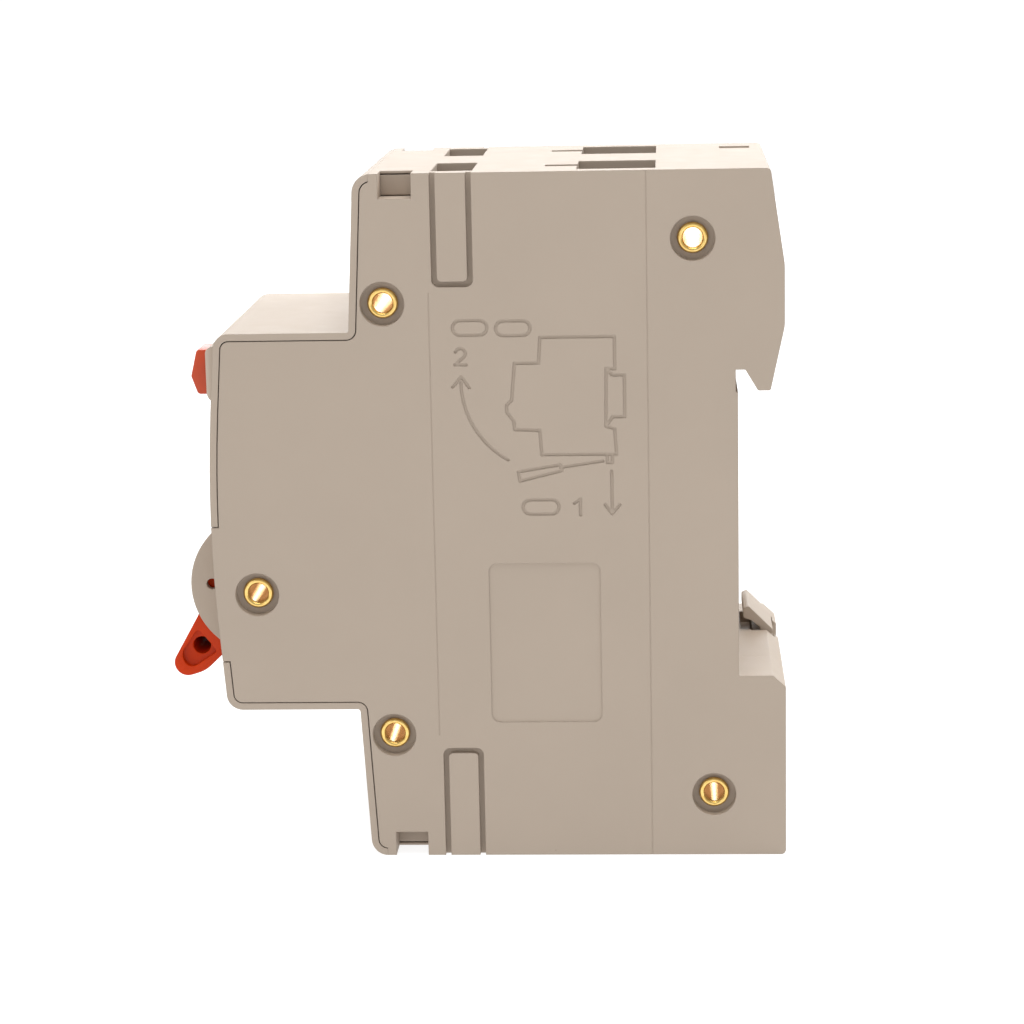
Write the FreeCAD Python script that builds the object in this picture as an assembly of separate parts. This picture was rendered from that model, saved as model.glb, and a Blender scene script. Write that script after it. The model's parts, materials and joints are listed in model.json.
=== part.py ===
import FreeCAD, Part
import math
import os
from FreeCAD import Vector

# Two-pole residual current device for a 35 mm top-hat rail.
# +Z is up along the rail's height, the front faces -Y, and X is the width.
# The origin is the centre of the face that seats on the rail.
# All lengths are in millimetres and all angles in degrees.

# ---------------------------------------------------------------- case
module_w = 18.0          # width of one pole
half_w = module_w        # two poles: the case spans -half_w .. +half_w
seam_x = 9.0             # joint planes between centre frame and side shells
top_z = 41.0
bottom_z = -40.7
wall = 1.6
web = 1.4                # partition between the two poles
edge_gap = 0.12          # seam between fascia and shells

neck_top_z = 22.7
neck_low_z = -22.5
neck_front_y = -62.45    # crest of the bowed front
bow_depth = 1.65
neck_corner_y = neck_front_y + bow_depth
bow_radius = 180.0
shoulder_y = -45.0       # stepped front, where it meets the neck
shoulder_end_y = -44.0   # stepped front, at the top and the bottom

rail_h = 35.0
rail_lip = 1.0
rail_play = 0.35
back_low_y = 5.5         # back of the block below the rail
ledge_z = -(rail_h / 2 + 1.15)
hook_y = 5.4             # back of the hook above the rail
hook_tip_z = 15.4
hook_roof_z = rail_h / 2 + rail_play
relief = 0.25            # depth of the clearances in the seat, at the hook and at the clip
seat_top_z = 15.2
seat_low_z = -15.5

fascia_t = 0.8
fascia_end_y = -42.2
front_skin = fascia_t + edge_gap + wall
land_top_z = -0.3        # the side shells' own stretch of front
land_low_z = -16.5
land_x = 12.9            # inner edge of that stretch
rib_reach_z = 28.0       # the screw shelves run from here to the top and bottom walls

# ---------------------------------------------------------------- rivets
axis_depth = 5.65        # from the crest of the front to the toggle's rivet
axis_y = neck_front_y + axis_depth
axis_z = -8.4
rivet_at = [(-5.1, 33.1), (-41.0, 26.0), (axis_y, axis_z), (-41.0, -25.7), (-3.0, -33.2)]
rivet_r = 1.5
rivet_bore_r = 1.15
rivet_rim_r = 1.8
rivet_fit = 0.06
counterbore_r = 2.6
counterbore_depth = 1.4
boss_r = 2.9
boss_setback = 1.2       # keeps the bosses behind the case's own skin

# ---------------------------------------------------------------- toggle
drum_r = 8.3
drum_gap = 0.6
toggle_half_w = 11.3
toggle_swing = 74.0
cheek_r = 8.75
cheek_x = 11.6
cheek_t = 1.0
tie_hole = (axis_y - 8.1, axis_z - 8.0)
tie_hole_r = 1.08
peep_hole = (axis_y - 6.2, axis_z + 0.1)
peep_hole_r = 0.67
pocket_depth = 0.8
sleeve_r = 2.1           # wall round the rivet inside the drum's slots
slot_front = 3.7         # the drum's slots open this far ahead of its axis
link_slot_x = (1.9, 4.9)
spring_slot_x = (-6.6, -2.4)
spring_r = 2.65
spring_wire_r = 0.35

# ---------------------------------------------------------------- contacts
shaft_y, shaft_z = -30.0, -14.0
shaft_r = 1.25
shaft_fit = 0.05
hub_r = 4.2
hub_gap = 0.4
hub_half_w = 12.5
carrier_swing = 20.0
toggle_crank_r = 3.6
link_r = 0.55
link_x = 4.0
link_bend = 1.0
link_fit = 0.1
lobe_x = (0.95, 3.1)
arm_x = 8.5
arm_t = 2.4
fixed_z = 5.5
contact_y = -22.15       # face of the fixed contact tips
tip_r = 1.6
tip_t = 1.05
tip_gap = 0.1
peg_at = (shaft_y + 1.0, shaft_z + 6.6)
peg_r = 0.8
peg_fit = 0.06
cheek_plate_t = 1.2
cheek_plate_gap = 0.2

# ---------------------------------------------------------------- terminals
terminal_x = 10.3
terminal_z = 33.5
bar_y = (-21.0, -19.4)
bar_half_w = 3.5
bar_pad_z = (29.2, 38.0)
strip_half_w = 2.0
strip_lap = 0.4
cage_half_w = 4.9
cage_half_h = 4.5
cage_y = (-24.8, -8.4)
cage_nut_t = 2.5
cage_t = 0.9
screw_r = 2.42
screw_fit = 0.08
head_r = 2.9
recess_depth = 1.6
recess_reach = 1.9
recess_half_w = 0.4
head_y = (-35.2, -31.8)
shelf_y = (-30.2, -29.0)
access_r = 3.2
opening_half_w = 5.3
wire_y = (-18.4, -9.3)
comb_y = (-35.2, -30.4)
indicator_half_w = 1.0
indicator_l = 3.8
mouth_margin = 0.6       # the mouths run this far past the inside of the wall
tongue_tip_z = (27.85, -27.35)
tongue_y = (-34.55, -31.05)
groove_w = 0.65
groove_depth = 0.8
groove_corner_r = 0.85

# ---------------------------------------------------------------- test button
button_x = 9.0
button_half_w = 2.5
button_z = (14.65, 19.95)
button_mid_z = sum(button_z) / 2
button_gap = 0.25
button_back_y = neck_corner_y + front_skin
button_face_y = neck_front_y - 1.45
button_ridge = (neck_front_y - 2.2, 16.8)
wing_w = 1.0
wing_t = 0.9
wing_gap = 0.3
collar_half_w = 4.4
collar_half_h = 3.3
collar_y = (neck_front_y - 0.3, neck_corner_y + 0.2)
stem_r = 1.2
stem_end_y = -50.6
rib_y = (-51.5, -50.3)
rib_low_z = 12.0
strip_y = (-48.4, -48.0)
strip_z = (8.0, 19.3)
strip_foot_z = 9.6

# ---------------------------------------------------------------- rail clip
clip_x = -9.0            # the clip slides in the pole away from the test button
clip_half_w = 5.0
clip_y = (2.3, 4.8)
clip_gap = 0.2
clip_mouth_half_w = 3.6
clip_end_gap = 0.4
clip_tab_half_w = 1.4
clip_room_half_w = 1.8
clip_travel_room = 3.0
clip_lip_top_z = -15.7
clip_lip_low_z = -17.2
clip_pocket_depth = 1.4
clip_wall = 2.5
clip_block_y = -2.6
clip_spring_back_y = -1.2
clip_spring_at = (clip_x, 0.6)
clip_spring_z = (-36.95, -25.55)

# ---------------------------------------------------------------- transformer, relay, board
toroid_y, toroid_z = -12.9, -11.5
toroid_r = 10.5
toroid_hole_r = 4.3
toroid_x = (-11.5, -1.5)
toroid_wall = 0.8
winding_turns = 36
wire_r = 1.1
relay_x = (2.2, 14.2)
relay_y = (-47.0, -37.0)
relay_z = (6.0, 18.5)
plunger_at = (8.2, -42.0)
plunger_r = 0.85
trip_pin_at = (-36.5, 2.3)
trip_pin_r = 0.8
trip_arm_l = 9.5
trip_arm_half_t = 0.7
pin_fit = 0.05
pin_boss_t = 1.0
plunger_top_z = 14.5
relay_skin = 0.8
arc_plate_count = 6
arc_plate_pitch = 1.95
arc_plate_t = 0.8
arc_plate_half_w = 4.2
arc_plate_z = (10.4, 21.6)
arc_start_y = -34.4
cheek_card_t = 0.6
board_x = (13.2, 14.4)
board_y = (-17.5, -3.0)
board_z = (2.0, 20.0)

engrave_depth = 0.15
engrave_w = 0.34
witness_depth = 0.04
witness_half_w = 0.06
past = 1.0               # how far cuts run past the faces they open

X_AXIS = Vector(1, 0, 0)
Y_AXIS = Vector(0, 1, 0)
Z_AXIS = Vector(0, 0, 1)


# ---------------------------------------------------------------- helpers
def box(x, y, z):
    """A block from three (low, high) pairs."""
    low = Vector(min(x), min(y), min(z))
    return Part.makeBox(max(x) - low.x, max(y) - low.y, max(z) - low.z, low)


def around(centre, half):
    """The (low, high) pair that reaches half each side of a centre."""
    return (centre - half, centre + half)


def rod_x(y, z, radius, x):
    """A cylinder along X between the two values of x."""
    return Part.makeCylinder(radius, max(x) - min(x), Vector(min(x), y, z), X_AXIS)


def rod_y(x, z, radius, y):
    """A cylinder along Y between the two values of y."""
    return Part.makeCylinder(radius, max(y) - min(y), Vector(x, min(y), z), Y_AXIS)


def rod_z(x, y, radius, z):
    """A cylinder along Z between the two values of z."""
    return Part.makeCylinder(radius, max(z) - min(z), Vector(x, y, min(z)), Z_AXIS)


def rounded_wire(corners, x):
    """A closed wire in the plane X = x through (y, z, radius) corners."""
    points = [Vector(x, y, z) for y, z, _ in corners]
    edges = []
    ends = []
    for i, (_, _, radius) in enumerate(corners):
        corner = points[i]
        before = (points[i - 1] - corner).normalize()
        after = (points[(i + 1) % len(points)] - corner).normalize()
        half = before.getAngle(after) / 2
        if radius <= 0 or half > math.radians(89.9):
            ends.append((corner, corner))
            continue
        reach = radius / math.tan(half)
        start = corner + before * reach
        end = corner + after * reach
        crest = corner + (before + after).normalize() * (radius / math.sin(half) - radius)
        edges.append(Part.Arc(start, crest, end).toShape())
        ends.append((start, end))
    for i, (start, _) in enumerate(ends):
        last_end = ends[i - 1][1]
        if (start - last_end).Length > 1e-6:
            edges.append(Part.LineSegment(last_end, start).toShape())
    return Part.Wire(Part.__sortEdges__(edges))


def plate(corners, x):
    """The rounded outline, extruded between the two values of x."""
    face = Part.Face(rounded_wire(corners, min(x)))
    return face.extrude(Vector(max(x) - min(x), 0, 0))


def inset(corners, depth):
    """The same counterclockwise outline, moved inwards by depth all round."""
    lines = []
    for i, (y, z, _) in enumerate(corners):
        next_y, next_z, _ = corners[(i + 1) % len(corners)]
        length = math.hypot(next_y - y, next_z - z)
        along = ((next_y - y) / length, (next_z - z) / length)
        lines.append(((y - along[1] * depth, z + along[0] * depth), along))
    moved = []
    for i, (_, _, radius) in enumerate(corners):
        (py, pz), (ay, az) = lines[i - 1]
        (qy, qz), (by, bz) = lines[i]
        cross = ay * bz - az * by
        reach = ((qy - py) * bz - (qz - pz) * by) / cross
        turned_radius = radius - depth if cross > 0 else radius + depth
        moved.append((py + ay * reach, pz + az * reach, max(turned_radius, 0)))
    return moved


def turned(shape, y, z, angle):
    """A copy turned about the X-parallel axis through (y, z)."""
    copy = shape.copy()
    copy.rotate(Vector(0, y, z), X_AXIS, angle)
    return copy


def mirrored_x(shape):
    return shape.mirror(Vector(0, 0, 0), X_AXIS)


def tube(points, radius, bend):
    """A round bar along straight runs joined by tangent arcs."""
    points = [Vector(*point) for point in points]
    edges = []
    start = points[0]
    for before, corner, after in zip(points, points[1:], points[2:]):
        back = (before - corner).normalize()
        ahead = (after - corner).normalize()
        half = back.getAngle(ahead) / 2
        reach = bend / math.tan(half)
        arc_start = corner + back * reach
        arc_end = corner + ahead * reach
        crest = corner + (back + ahead).normalize() * (bend / math.sin(half) - bend)
        edges.append(Part.LineSegment(start, arc_start).toShape())
        edges.append(Part.Arc(arc_start, crest, arc_end).toShape())
        start = arc_end
    edges.append(Part.LineSegment(start, points[-1]).toShape())
    profile = Part.Wire(Part.makeCircle(radius, points[0], points[1] - points[0]))
    return Part.Wire(edges).makePipeShell([profile], True, False)


def coil(start, direction, length, mean_r, wire, turns):
    """A helical spring that starts at a point and runs along a direction."""
    helix = Part.makeHelix(length / turns, length, mean_r)
    profile = Part.Wire(Part.makeCircle(wire, Vector(mean_r, 0, 0), Y_AXIS))
    spring = Part.Wire(helix).makePipeShell([profile], True, True)
    spring.Placement = FreeCAD.Placement(start, FreeCAD.Rotation(Z_AXIS, direction))
    return spring


def joined(shapes):
    """One solid from pieces that touch or overlap."""
    return shapes[0].multiFuse(shapes[1:]).removeSplitter()


# ---------------------------------------------------------------- case outlines
def case_outline():
    """The side view of the whole case, counterclockwise with +Y to the right."""
    return [
        (back_low_y, bottom_z, 0.6),
        (back_low_y, ledge_z - 1.4, 0.2),
        (back_low_y - 1.5, ledge_z, 0.2),
        (0, ledge_z, 0.2),
        (0, hook_roof_z, 0.15),
        (rail_lip - 0.15, hook_roof_z, 0.2),
        (rail_lip + 1.3, hook_tip_z, 0.2),
        (hook_y - 1.65, hook_tip_z, 0.25),
        (hook_y, hook_tip_z + 7.5, 4.0),
        (hook_y, top_z - 11.0, 6.0),
        (hook_y - 1.6, top_z, 0.6),
        (shoulder_end_y, top_z, 2.2),
        (shoulder_y, neck_top_z, 0.3),
        (neck_corner_y, neck_top_z, 1.85),
        (neck_front_y, (neck_top_z + neck_low_z) / 2, bow_radius),
        (neck_corner_y, neck_low_z, 1.9),
        (shoulder_y, neck_low_z, 0.3),
        (shoulder_end_y, bottom_z, 2.0),
    ]


def cavity_outline():
    """The hollow of each pole, one wall inside the case."""
    skin = front_skin
    return [
        (back_low_y - wall, bottom_z + wall, 0.6),
        (back_low_y - wall, ledge_z - 1.4 - wall, 0.6),
        (-wall, ledge_z - wall, 0.6),
        (-wall, hook_roof_z + wall, 0.6),
        (hook_y - 3.0, hook_roof_z + 1.5 * wall, 0.6),
        (hook_y - 3.0, top_z - wall, 0.6),
        (shoulder_end_y + skin, top_z - wall, 0.6),
        (shoulder_y + skin, neck_top_z - skin, 0.4),
        (neck_corner_y + skin, neck_top_z - skin, 0.6),
        (neck_front_y + skin, (neck_top_z + neck_low_z) / 2, bow_radius),
        (neck_corner_y + skin, neck_low_z + skin, 0.6),
        (shoulder_y + skin, neck_low_z + skin, 0.4),
        (shoulder_end_y + skin, bottom_z + wall, 0.6),
    ]


def front_block(x):
    """Everything ahead of the line where the fascia ends."""
    return box(x, (neck_front_y - 5, fascia_end_y), (bottom_z - 5, top_z + 5))


def case_body(x, keep_land):
    """The case between two X planes, cut back to make room for the fascia."""
    inner = plate(inset(case_outline(), fascia_t + edge_gap), x)
    band = front_block(x).cut(inner)
    if keep_land:
        band = band.cut(box(x, (neck_front_y - 6, neck_front_y + 8), (land_low_z, land_top_z)))
    return plate(case_outline(), x).cut(band)


# ---------------------------------------------------------------- shared cut-outs
def terminal_cuts(side):
    """Wire mouths, comb slots, indicator slits and screw holes of one pole."""
    cuts = []
    x = side * terminal_x
    for up, face_z in ((1, top_z), (-1, bottom_z)):
        mouth_z = (face_z - up * (wall + mouth_margin), face_z + up)
        cuts.append(box(around(x, opening_half_w), wire_y, mouth_z))
        cuts.append(box(around(x, opening_half_w), comb_y, mouth_z))
        cuts.append(box(around(x, indicator_half_w), (wire_y[0] - indicator_l, wire_y[0]), mouth_z))
        cuts.append(rod_y(x, up * terminal_z, access_r, (shoulder_y - 2, shoulder_end_y + 7)))
        cuts.append(rod_y(x, up * terminal_z, screw_r + 0.3, (shelf_y[0] - 0.3, shelf_y[1] + 0.3)))
    return cuts


def button_cuts():
    """The test button's hole through the front and through the inner rib."""
    hole_x = around(button_x, button_half_w + button_gap)
    hole_z = (button_z[0] - button_gap, button_z[1] + button_gap)
    hole_y = (neck_front_y - 3, button_back_y + mouth_margin)
    stem_hole = rod_y(button_x, button_mid_z, stem_r + wing_gap, (rib_y[0] - past, rib_y[1] + past))
    return [box(hole_x, hole_y, hole_z), stem_hole]


def inner_ribs(x, for_button):
    """Shelves that carry the terminal screws, and the test button's rib."""
    ribs = [box(x, shelf_y, (rib_reach_z, top_z - wall / 2)),
            box(x, shelf_y, (bottom_z + wall / 2, -rib_reach_z))]
    if for_button:
        ribs.append(box(x, rib_y, (rib_low_z, neck_top_z - front_skin + wall / 2)))
    return ribs


def rivet_holes(x):
    return [rod_x(y, z, rivet_r + rivet_fit, x) for y, z in rivet_at]


def hook_relief():
    """A shallow clearance in the rail seat, at the hook's root."""
    return box(around(0, half_w + past), (-relief, relief), (seat_top_z, hook_roof_z))


def clip_block(x):
    """The solid that the clip slides in, between two X planes."""
    block = plate(inset(case_outline(), 0.01), around(clip_x, clip_half_w + clip_wall))
    return block.common(box(x, (clip_block_y, back_low_y + past), (bottom_z, ledge_z)))


def clip_cuts():
    """The clip's channel, its mouth, its spring's room and the clearances under its nose."""
    channel_x = around(clip_x, clip_half_w + clip_gap)
    channel_y = (clip_y[0] - clip_gap, clip_y[1] + clip_gap)
    through_z = (bottom_z - past, ledge_z + past)
    spring_room_z = (clip_spring_z[0] - 0.05, clip_spring_z[1] + clip_travel_room)
    pocket_z = (ledge_z - clip_pocket_depth, ledge_z + past)
    return [
        box(channel_x, channel_y, through_z),
        box(around(clip_x, clip_mouth_half_w), (clip_y[0], back_low_y + past), through_z),
        box(around(clip_x, clip_room_half_w), (clip_spring_back_y, clip_y[0]), spring_room_z),
        box(around(clip_x, clip_half_w - 0.3), (rail_lip - 0.2, clip_y[0]), pocket_z),
        box(channel_x, (-relief, relief), (ledge_z, seat_low_z)),
    ]


def toggle_window():
    """The space for the toggle between the fascia's cheeks."""
    return box(around(0, land_x), (neck_front_y - 5, axis_y - 0.5), (axis_z - 9.3, axis_z + 9.7))


# ---------------------------------------------------------------- side shells
def corner_notch(up, face_z):
    """One corner pocket of a side shell: its material, and what is cut from it."""
    block = box((12.4, half_w - 0.5), (fascia_end_y + 0.1, -36.3), (face_z - up * 0.5, face_z - up * 4.4))
    notch = box((14.2, half_w + 1), (-41.15, -37.3), (face_z - up * 2.9, face_z + up))
    slot = box((13.0, 14.3), (-43.4, -37.1), (face_z - up * 0.3, face_z - up * 2.95))
    return block, [notch, slot]


def slot_end(y, tip_z, end_z, radius, x):
    """A plate with square corners at end_z and rounded ones at tip_z."""
    return plate([(y[0], end_z, 0), (y[0], tip_z, radius), (y[1], tip_z, radius), (y[1], end_z, 0)], x)


def knock_out(up, face_z, tip_z):
    """The U-shaped groove that outlines a break-out tongue for a comb bar."""
    floor = (half_w - groove_depth, half_w + past)
    tongue_r = groove_corner_r - groove_w / 2
    outer = slot_end(comb_y, tip_z, face_z + up, groove_corner_r, floor)
    tongue = slot_end(tongue_y, tip_z + up * groove_w, face_z + up * 2, tongue_r, floor)
    return outer.cut(tongue)


def rounded_rectangle(y, z, radius, x):
    corners = [(y[1], z[0], radius), (y[1], z[1], radius), (y[0], z[1], radius), (y[0], z[0], radius)]
    return plate(corners, x)


def right_side_shell(engraved):
    """The shell of the +X side. The other side mirrors it, unengraved and with a slit in its top."""
    x = (seam_x, half_w)
    inner_x = (seam_x - 1, half_w - wall)
    cavity = plate(cavity_outline(), inner_x)
    shell = case_body(x, True).cut(cavity)
    added = inner_ribs((seam_x, half_w - wall / 2), engraved)
    for y, z in rivet_at:
        boss_x = (land_x if (y, z) == rivet_at[2] else seam_x, half_w - wall / 2)
        added.append(rod_x(y, z, boss_r, boss_x).common(plate(inset(case_outline(), boss_setback), x)))
    added.append(rod_x(shaft_y, shaft_z, shaft_r + pin_boss_t, (15.4, half_w - wall / 2)))
    cuts = []
    for up, face_z in ((1, top_z), (-1, bottom_z)):
        block, notch_cuts = corner_notch(up, face_z)
        added.append(block)
        cuts += notch_cuts
    if engraved:
        added.append(rod_x(*trip_pin_at, trip_pin_r + pin_boss_t, (board_x[1], half_w - wall / 2)))
        for y in (board_y[0] + 2, board_y[1] - 2):
            for z in (board_z[0] + 2, board_z[1] - 2):
                added.append(rod_x(y, z, 1.2, (board_x[1], half_w - wall / 2)))
        cuts.append(rod_x(*trip_pin_at, trip_pin_r + pin_fit, (14, half_w - 0.9)))
        cuts += button_cuts()
    else:
        cuts.append(box(around(12.0, 1.4), (-1.5, 2.2), (top_z - 1.0, top_z + past)))
    shell = joined([shell] + added)
    for y, z in rivet_at:
        cuts.append(rod_x(y, z, counterbore_r, (half_w - counterbore_depth, half_w + 1)))
    cuts.append(knock_out(1, top_z, tongue_tip_z[0]))
    cuts.append(knock_out(-1, bottom_z, tongue_tip_z[1]))
    cuts.append(rod_x(shaft_y, shaft_z, shaft_r + shaft_fit, (15, half_w - 1.0)))
    cuts.append(hook_relief())
    window = toggle_window()
    shell = shell.cut(cuts + rivet_holes((seam_x - 1, half_w + 1)) + terminal_cuts(1) + [window])
    if engraved:
        shell = shell.cut(side_markings())
    return shell


def left_side_shell():
    """The mirrored shell, with its half of the clip's channel."""
    shell = mirrored_x(right_side_shell(False))
    holes = rivet_holes((-half_w - past, -seam_x + past))
    return joined([shell, clip_block((-half_w, -seam_x))]).cut(clip_cuts() + holes)


def side_markings():
    """The label recess, the two fine witness lines and the engraved mounting guide."""
    floor = (half_w - engrave_depth, half_w + 1)
    label = rounded_rectangle((-29.3, -16.2), (-24.2, -4.85), 1.0, floor)
    line_floor = (half_w - witness_depth, half_w + past)
    front_line = box(line_floor, around(-35.6, witness_half_w), (-25.7, 27.2))
    back_line = box(line_floor, around(-10.4, witness_half_w), (bottom_z - past, top_z + past))
    marks = [label, front_line, back_line]
    for stroke in guide_strokes():
        marks += stroke_cuts(stroke)
    return marks


def stroke_cuts(points):
    """Round-ended grooves along a chain of (y, z) points on the side face."""
    floor = (half_w - engrave_depth, half_w + 1)
    half = engrave_w / 2
    cuts = [rod_x(y, z, half, floor) for y, z in points]
    for (y0, z0), (y1, z1) in zip(points, points[1:]):
        length = math.hypot(y1 - y0, z1 - z0)
        bar = box(floor, (0, length), (-half, half))
        bar.rotate(Vector(0, 0, 0), X_AXIS, math.degrees(math.atan2(z1 - z0, y1 - y0)))
        bar.translate(Vector(0, y0, z0))
        cuts.append(bar)
    return cuts


def arc_points(centre, radius, start, end, count):
    """Points along an arc, with angles in degrees from +Y towards +Z."""
    points = []
    for i in range(count + 1):
        angle = math.radians(start + (end - start) * i / count)
        points.append((centre[0] + radius * math.cos(angle), centre[1] + radius * math.sin(angle)))
    return points


def pill(y, z, height):
    """A round-ended outline that stands where a word could go."""
    r = height / 2
    right = arc_points((y[1] - r, z), r, -90, 90, 8)
    left = arc_points((y[0] + r, z), r, 90, 270, 8)
    return right + left + right[:1]


def guide_strokes():
    """How the device comes off its rail: pull the clip down, then swing the front up."""
    device = [(-15.2, 18.2), (-14.2, 18.1), (-14.2, 21.9), (-22.8, 21.9), (-23.0, 18.9), (-25.8, 18.9),
              (-26.2, 14.6), (-26.8, 14.0), (-26.8, 13.2), (-26.0, 12.1), (-25.9, 11.1), (-23.0, 11.0),
              (-22.8, 8.1), (-14.1, 8.1), (-14.3, 11.1), (-15.3, 11.4), (-15.2, 18.2)]
    rail = [(-15.2, 18.2), (-14.5, 17.4), (-13.1, 17.4), (-13.1, 12.5), (-14.5, 12.5), (-15.3, 11.4)]
    handle = [(-25.6, 6.1), (-20.7, 6.9), (-20.5, 6.2), (-25.4, 5.0), (-25.6, 6.1)]
    blade = [(-20.5, 6.6), (-15.7, 7.3)]
    clip = [(-15.2, 7.9), (-15.2, 7.1), (-14.6, 7.1), (-14.6, 7.9)]
    swing = arc_points((-21.45, 16.7), 10.6, 180, 240, 10)
    swing_head = [(-33.0, 16.2), (-32.0, 17.4), (-31.1, 16.1)]
    pull = [(-14.7, 6.1), (-14.7, 1.0)]
    pull_head = [(-15.5, 2.1), (-14.7, 1.0), (-13.8, 2.1)]
    one = [(-19.1, 2.3), (-18.4, 2.8), (-18.4, 0.9)]
    two = arc_points((-32.05, 20.1), 0.6, 160, -30, 6) + [(-32.7, 18.8), (-31.4, 18.8)]
    words = [pill((-32.9, -28.9), 23.1, 1.7), pill((-27.9, -23.9), 23.0, 1.7)]
    words.append(pill((-25.1, -20.9), 1.9, 1.7))
    return [device, rail, handle, blade, clip, swing, swing_head, pull, pull_head, one, two] + words


# ---------------------------------------------------------------- centre frame
def centre_frame():
    """The middle of the case: rim, partition, clip channel and inner ribs."""
    x = (-seam_x, seam_x)
    right_hollow = (web / 2, seam_x + 1)
    frame = case_body(x, False)
    hollow = plate(cavity_outline(), right_hollow)
    frame = frame.cut([hollow, mirrored_x(hollow)])
    added = [clip_block(x)]
    added += inner_ribs((0, seam_x), True) + inner_ribs((-seam_x, 0), False)
    for y, z in rivet_at:
        if (y, z) != rivet_at[2]:
            added.append(rod_x(y, z, boss_r, x).common(plate(inset(case_outline(), boss_setback), x)))
    added.append(rod_x(*trip_pin_at, trip_pin_r + pin_boss_t, (0, 2.0)))
    for angle in (100, 215, 330):
        pad = turned(rod_x(toroid_y + 9.3, toroid_z, 1.1, (toroid_x[1], 0)), toroid_y, toroid_z, angle)
        added.append(pad)
    frame = joined([frame] + added)
    cuts = [toggle_window()]
    cuts.append(rod_x(axis_y, axis_z, drum_r + drum_gap, around(0, seam_x + past)))
    cuts.append(rod_x(shaft_y, shaft_z, hub_r + hub_gap, around(0, seam_x + past)))
    cuts.append(box(around(0, web), (toroid_y - 4.1, toroid_y + 4.4), (-29.5, toroid_z + 4.4)))
    cuts.append(rod_x(*trip_pin_at, trip_pin_r + pin_fit, (-0.6, 3)))
    cuts.append(hook_relief())
    cuts += clip_cuts() + button_cuts() + rivet_holes((-half_w, half_w))
    cuts += terminal_cuts(1) + terminal_cuts(-1)
    return frame.cut(cuts)


# ---------------------------------------------------------------- fascia and rivets
def front_fascia():
    """The thin front cover, with its cheeks, button collar and snap hooks."""
    x = (-half_w, half_w)
    inner = plate(inset(case_outline(), fascia_t), (-half_w - 1, half_w + 1))
    skin = plate(case_outline(), x).cut(inner).common(front_block(x))
    window = box(around(0, cheek_x), (neck_front_y - 2, axis_y), (axis_z - 8.6, axis_z + 7.6))
    outer_end = cheek_x + cheek_t
    land = box((outer_end, half_w + 1), (neck_front_y - 2, axis_y), (land_low_z - 0.15, land_top_z + 0.15))
    skin = skin.cut([window, land, mirrored_x(land)])
    collar = box(around(button_x, collar_half_w), collar_y, around(button_mid_z, collar_half_h))
    front_edges = [e for e in collar.Edges if e.CenterOfMass.y < collar_y[0] + 0.05]
    collar = collar.makeFillet(1.2, front_edges)
    pieces = [skin, collar]
    cheek_span = (cheek_x, outer_end)
    disc = rod_x(axis_y, axis_z, cheek_r, cheek_span)
    strip = box(cheek_span, (neck_front_y + 0.55, axis_y), (axis_z - 9.3, axis_z + 9.7))
    cheek = disc.fuse(strip)
    for up, face_z in ((1, top_z), (-1, bottom_z)):
        hook = box((13.15, 14.15), (fascia_end_y - 1.0, -37.6), (face_z - up * 0.45, face_z - up * 2.8))
        pieces += [hook, mirrored_x(hook)]
    pieces += [cheek, mirrored_x(cheek)]
    fascia = joined(pieces)
    cuts = button_cuts()[:1] + rivet_holes((-half_w, half_w))
    peep = rod_x(*peep_hole, peep_hole_r, (cheek_x - past, outer_end + past))
    cuts += [peep, mirrored_x(peep)]
    for side in (-1, 1):
        for up in (-1, 1):
            access_y = (shoulder_y - 2, shoulder_end_y + 2)
            cuts.append(rod_y(side * terminal_x, up * terminal_z, access_r, access_y))
    return fascia.cut(cuts)


def case_rivets():
    """Five tubes with rolled rims at both ends."""
    floor_x = half_w - counterbore_depth + 0.02
    roll = (rivet_rim_r - rivet_bore_r) / 2
    rim_x = floor_x + roll
    mid_r = (rivet_rim_r + rivet_bore_r) / 2
    tubes = []
    for y, z in rivet_at:
        def at(x, r):
            return Vector(x, y, z + r)
        edges = [
            Part.LineSegment(at(-rim_x, rivet_bore_r), at(rim_x, rivet_bore_r)),
            Part.Arc(at(rim_x, rivet_bore_r), at(rim_x + roll, mid_r), at(rim_x, rivet_rim_r)),
            Part.LineSegment(at(rim_x, rivet_rim_r), at(floor_x, rivet_rim_r)),
            Part.LineSegment(at(floor_x, rivet_rim_r), at(floor_x, rivet_r)),
            Part.LineSegment(at(floor_x, rivet_r), at(-floor_x, rivet_r)),
            Part.LineSegment(at(-floor_x, rivet_r), at(-floor_x, rivet_rim_r)),
            Part.LineSegment(at(-floor_x, rivet_rim_r), at(-rim_x, rivet_rim_r)),
            Part.Arc(at(-rim_x, rivet_rim_r), at(-rim_x - roll, mid_r), at(-rim_x, rivet_bore_r)),
        ]
        face = Part.Face(Part.Wire([edge.toShape() for edge in edges]))
        tubes.append(face.revolve(Vector(0, y, z), X_AXIS, 360))
    return Part.makeCompound(tubes)


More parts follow.
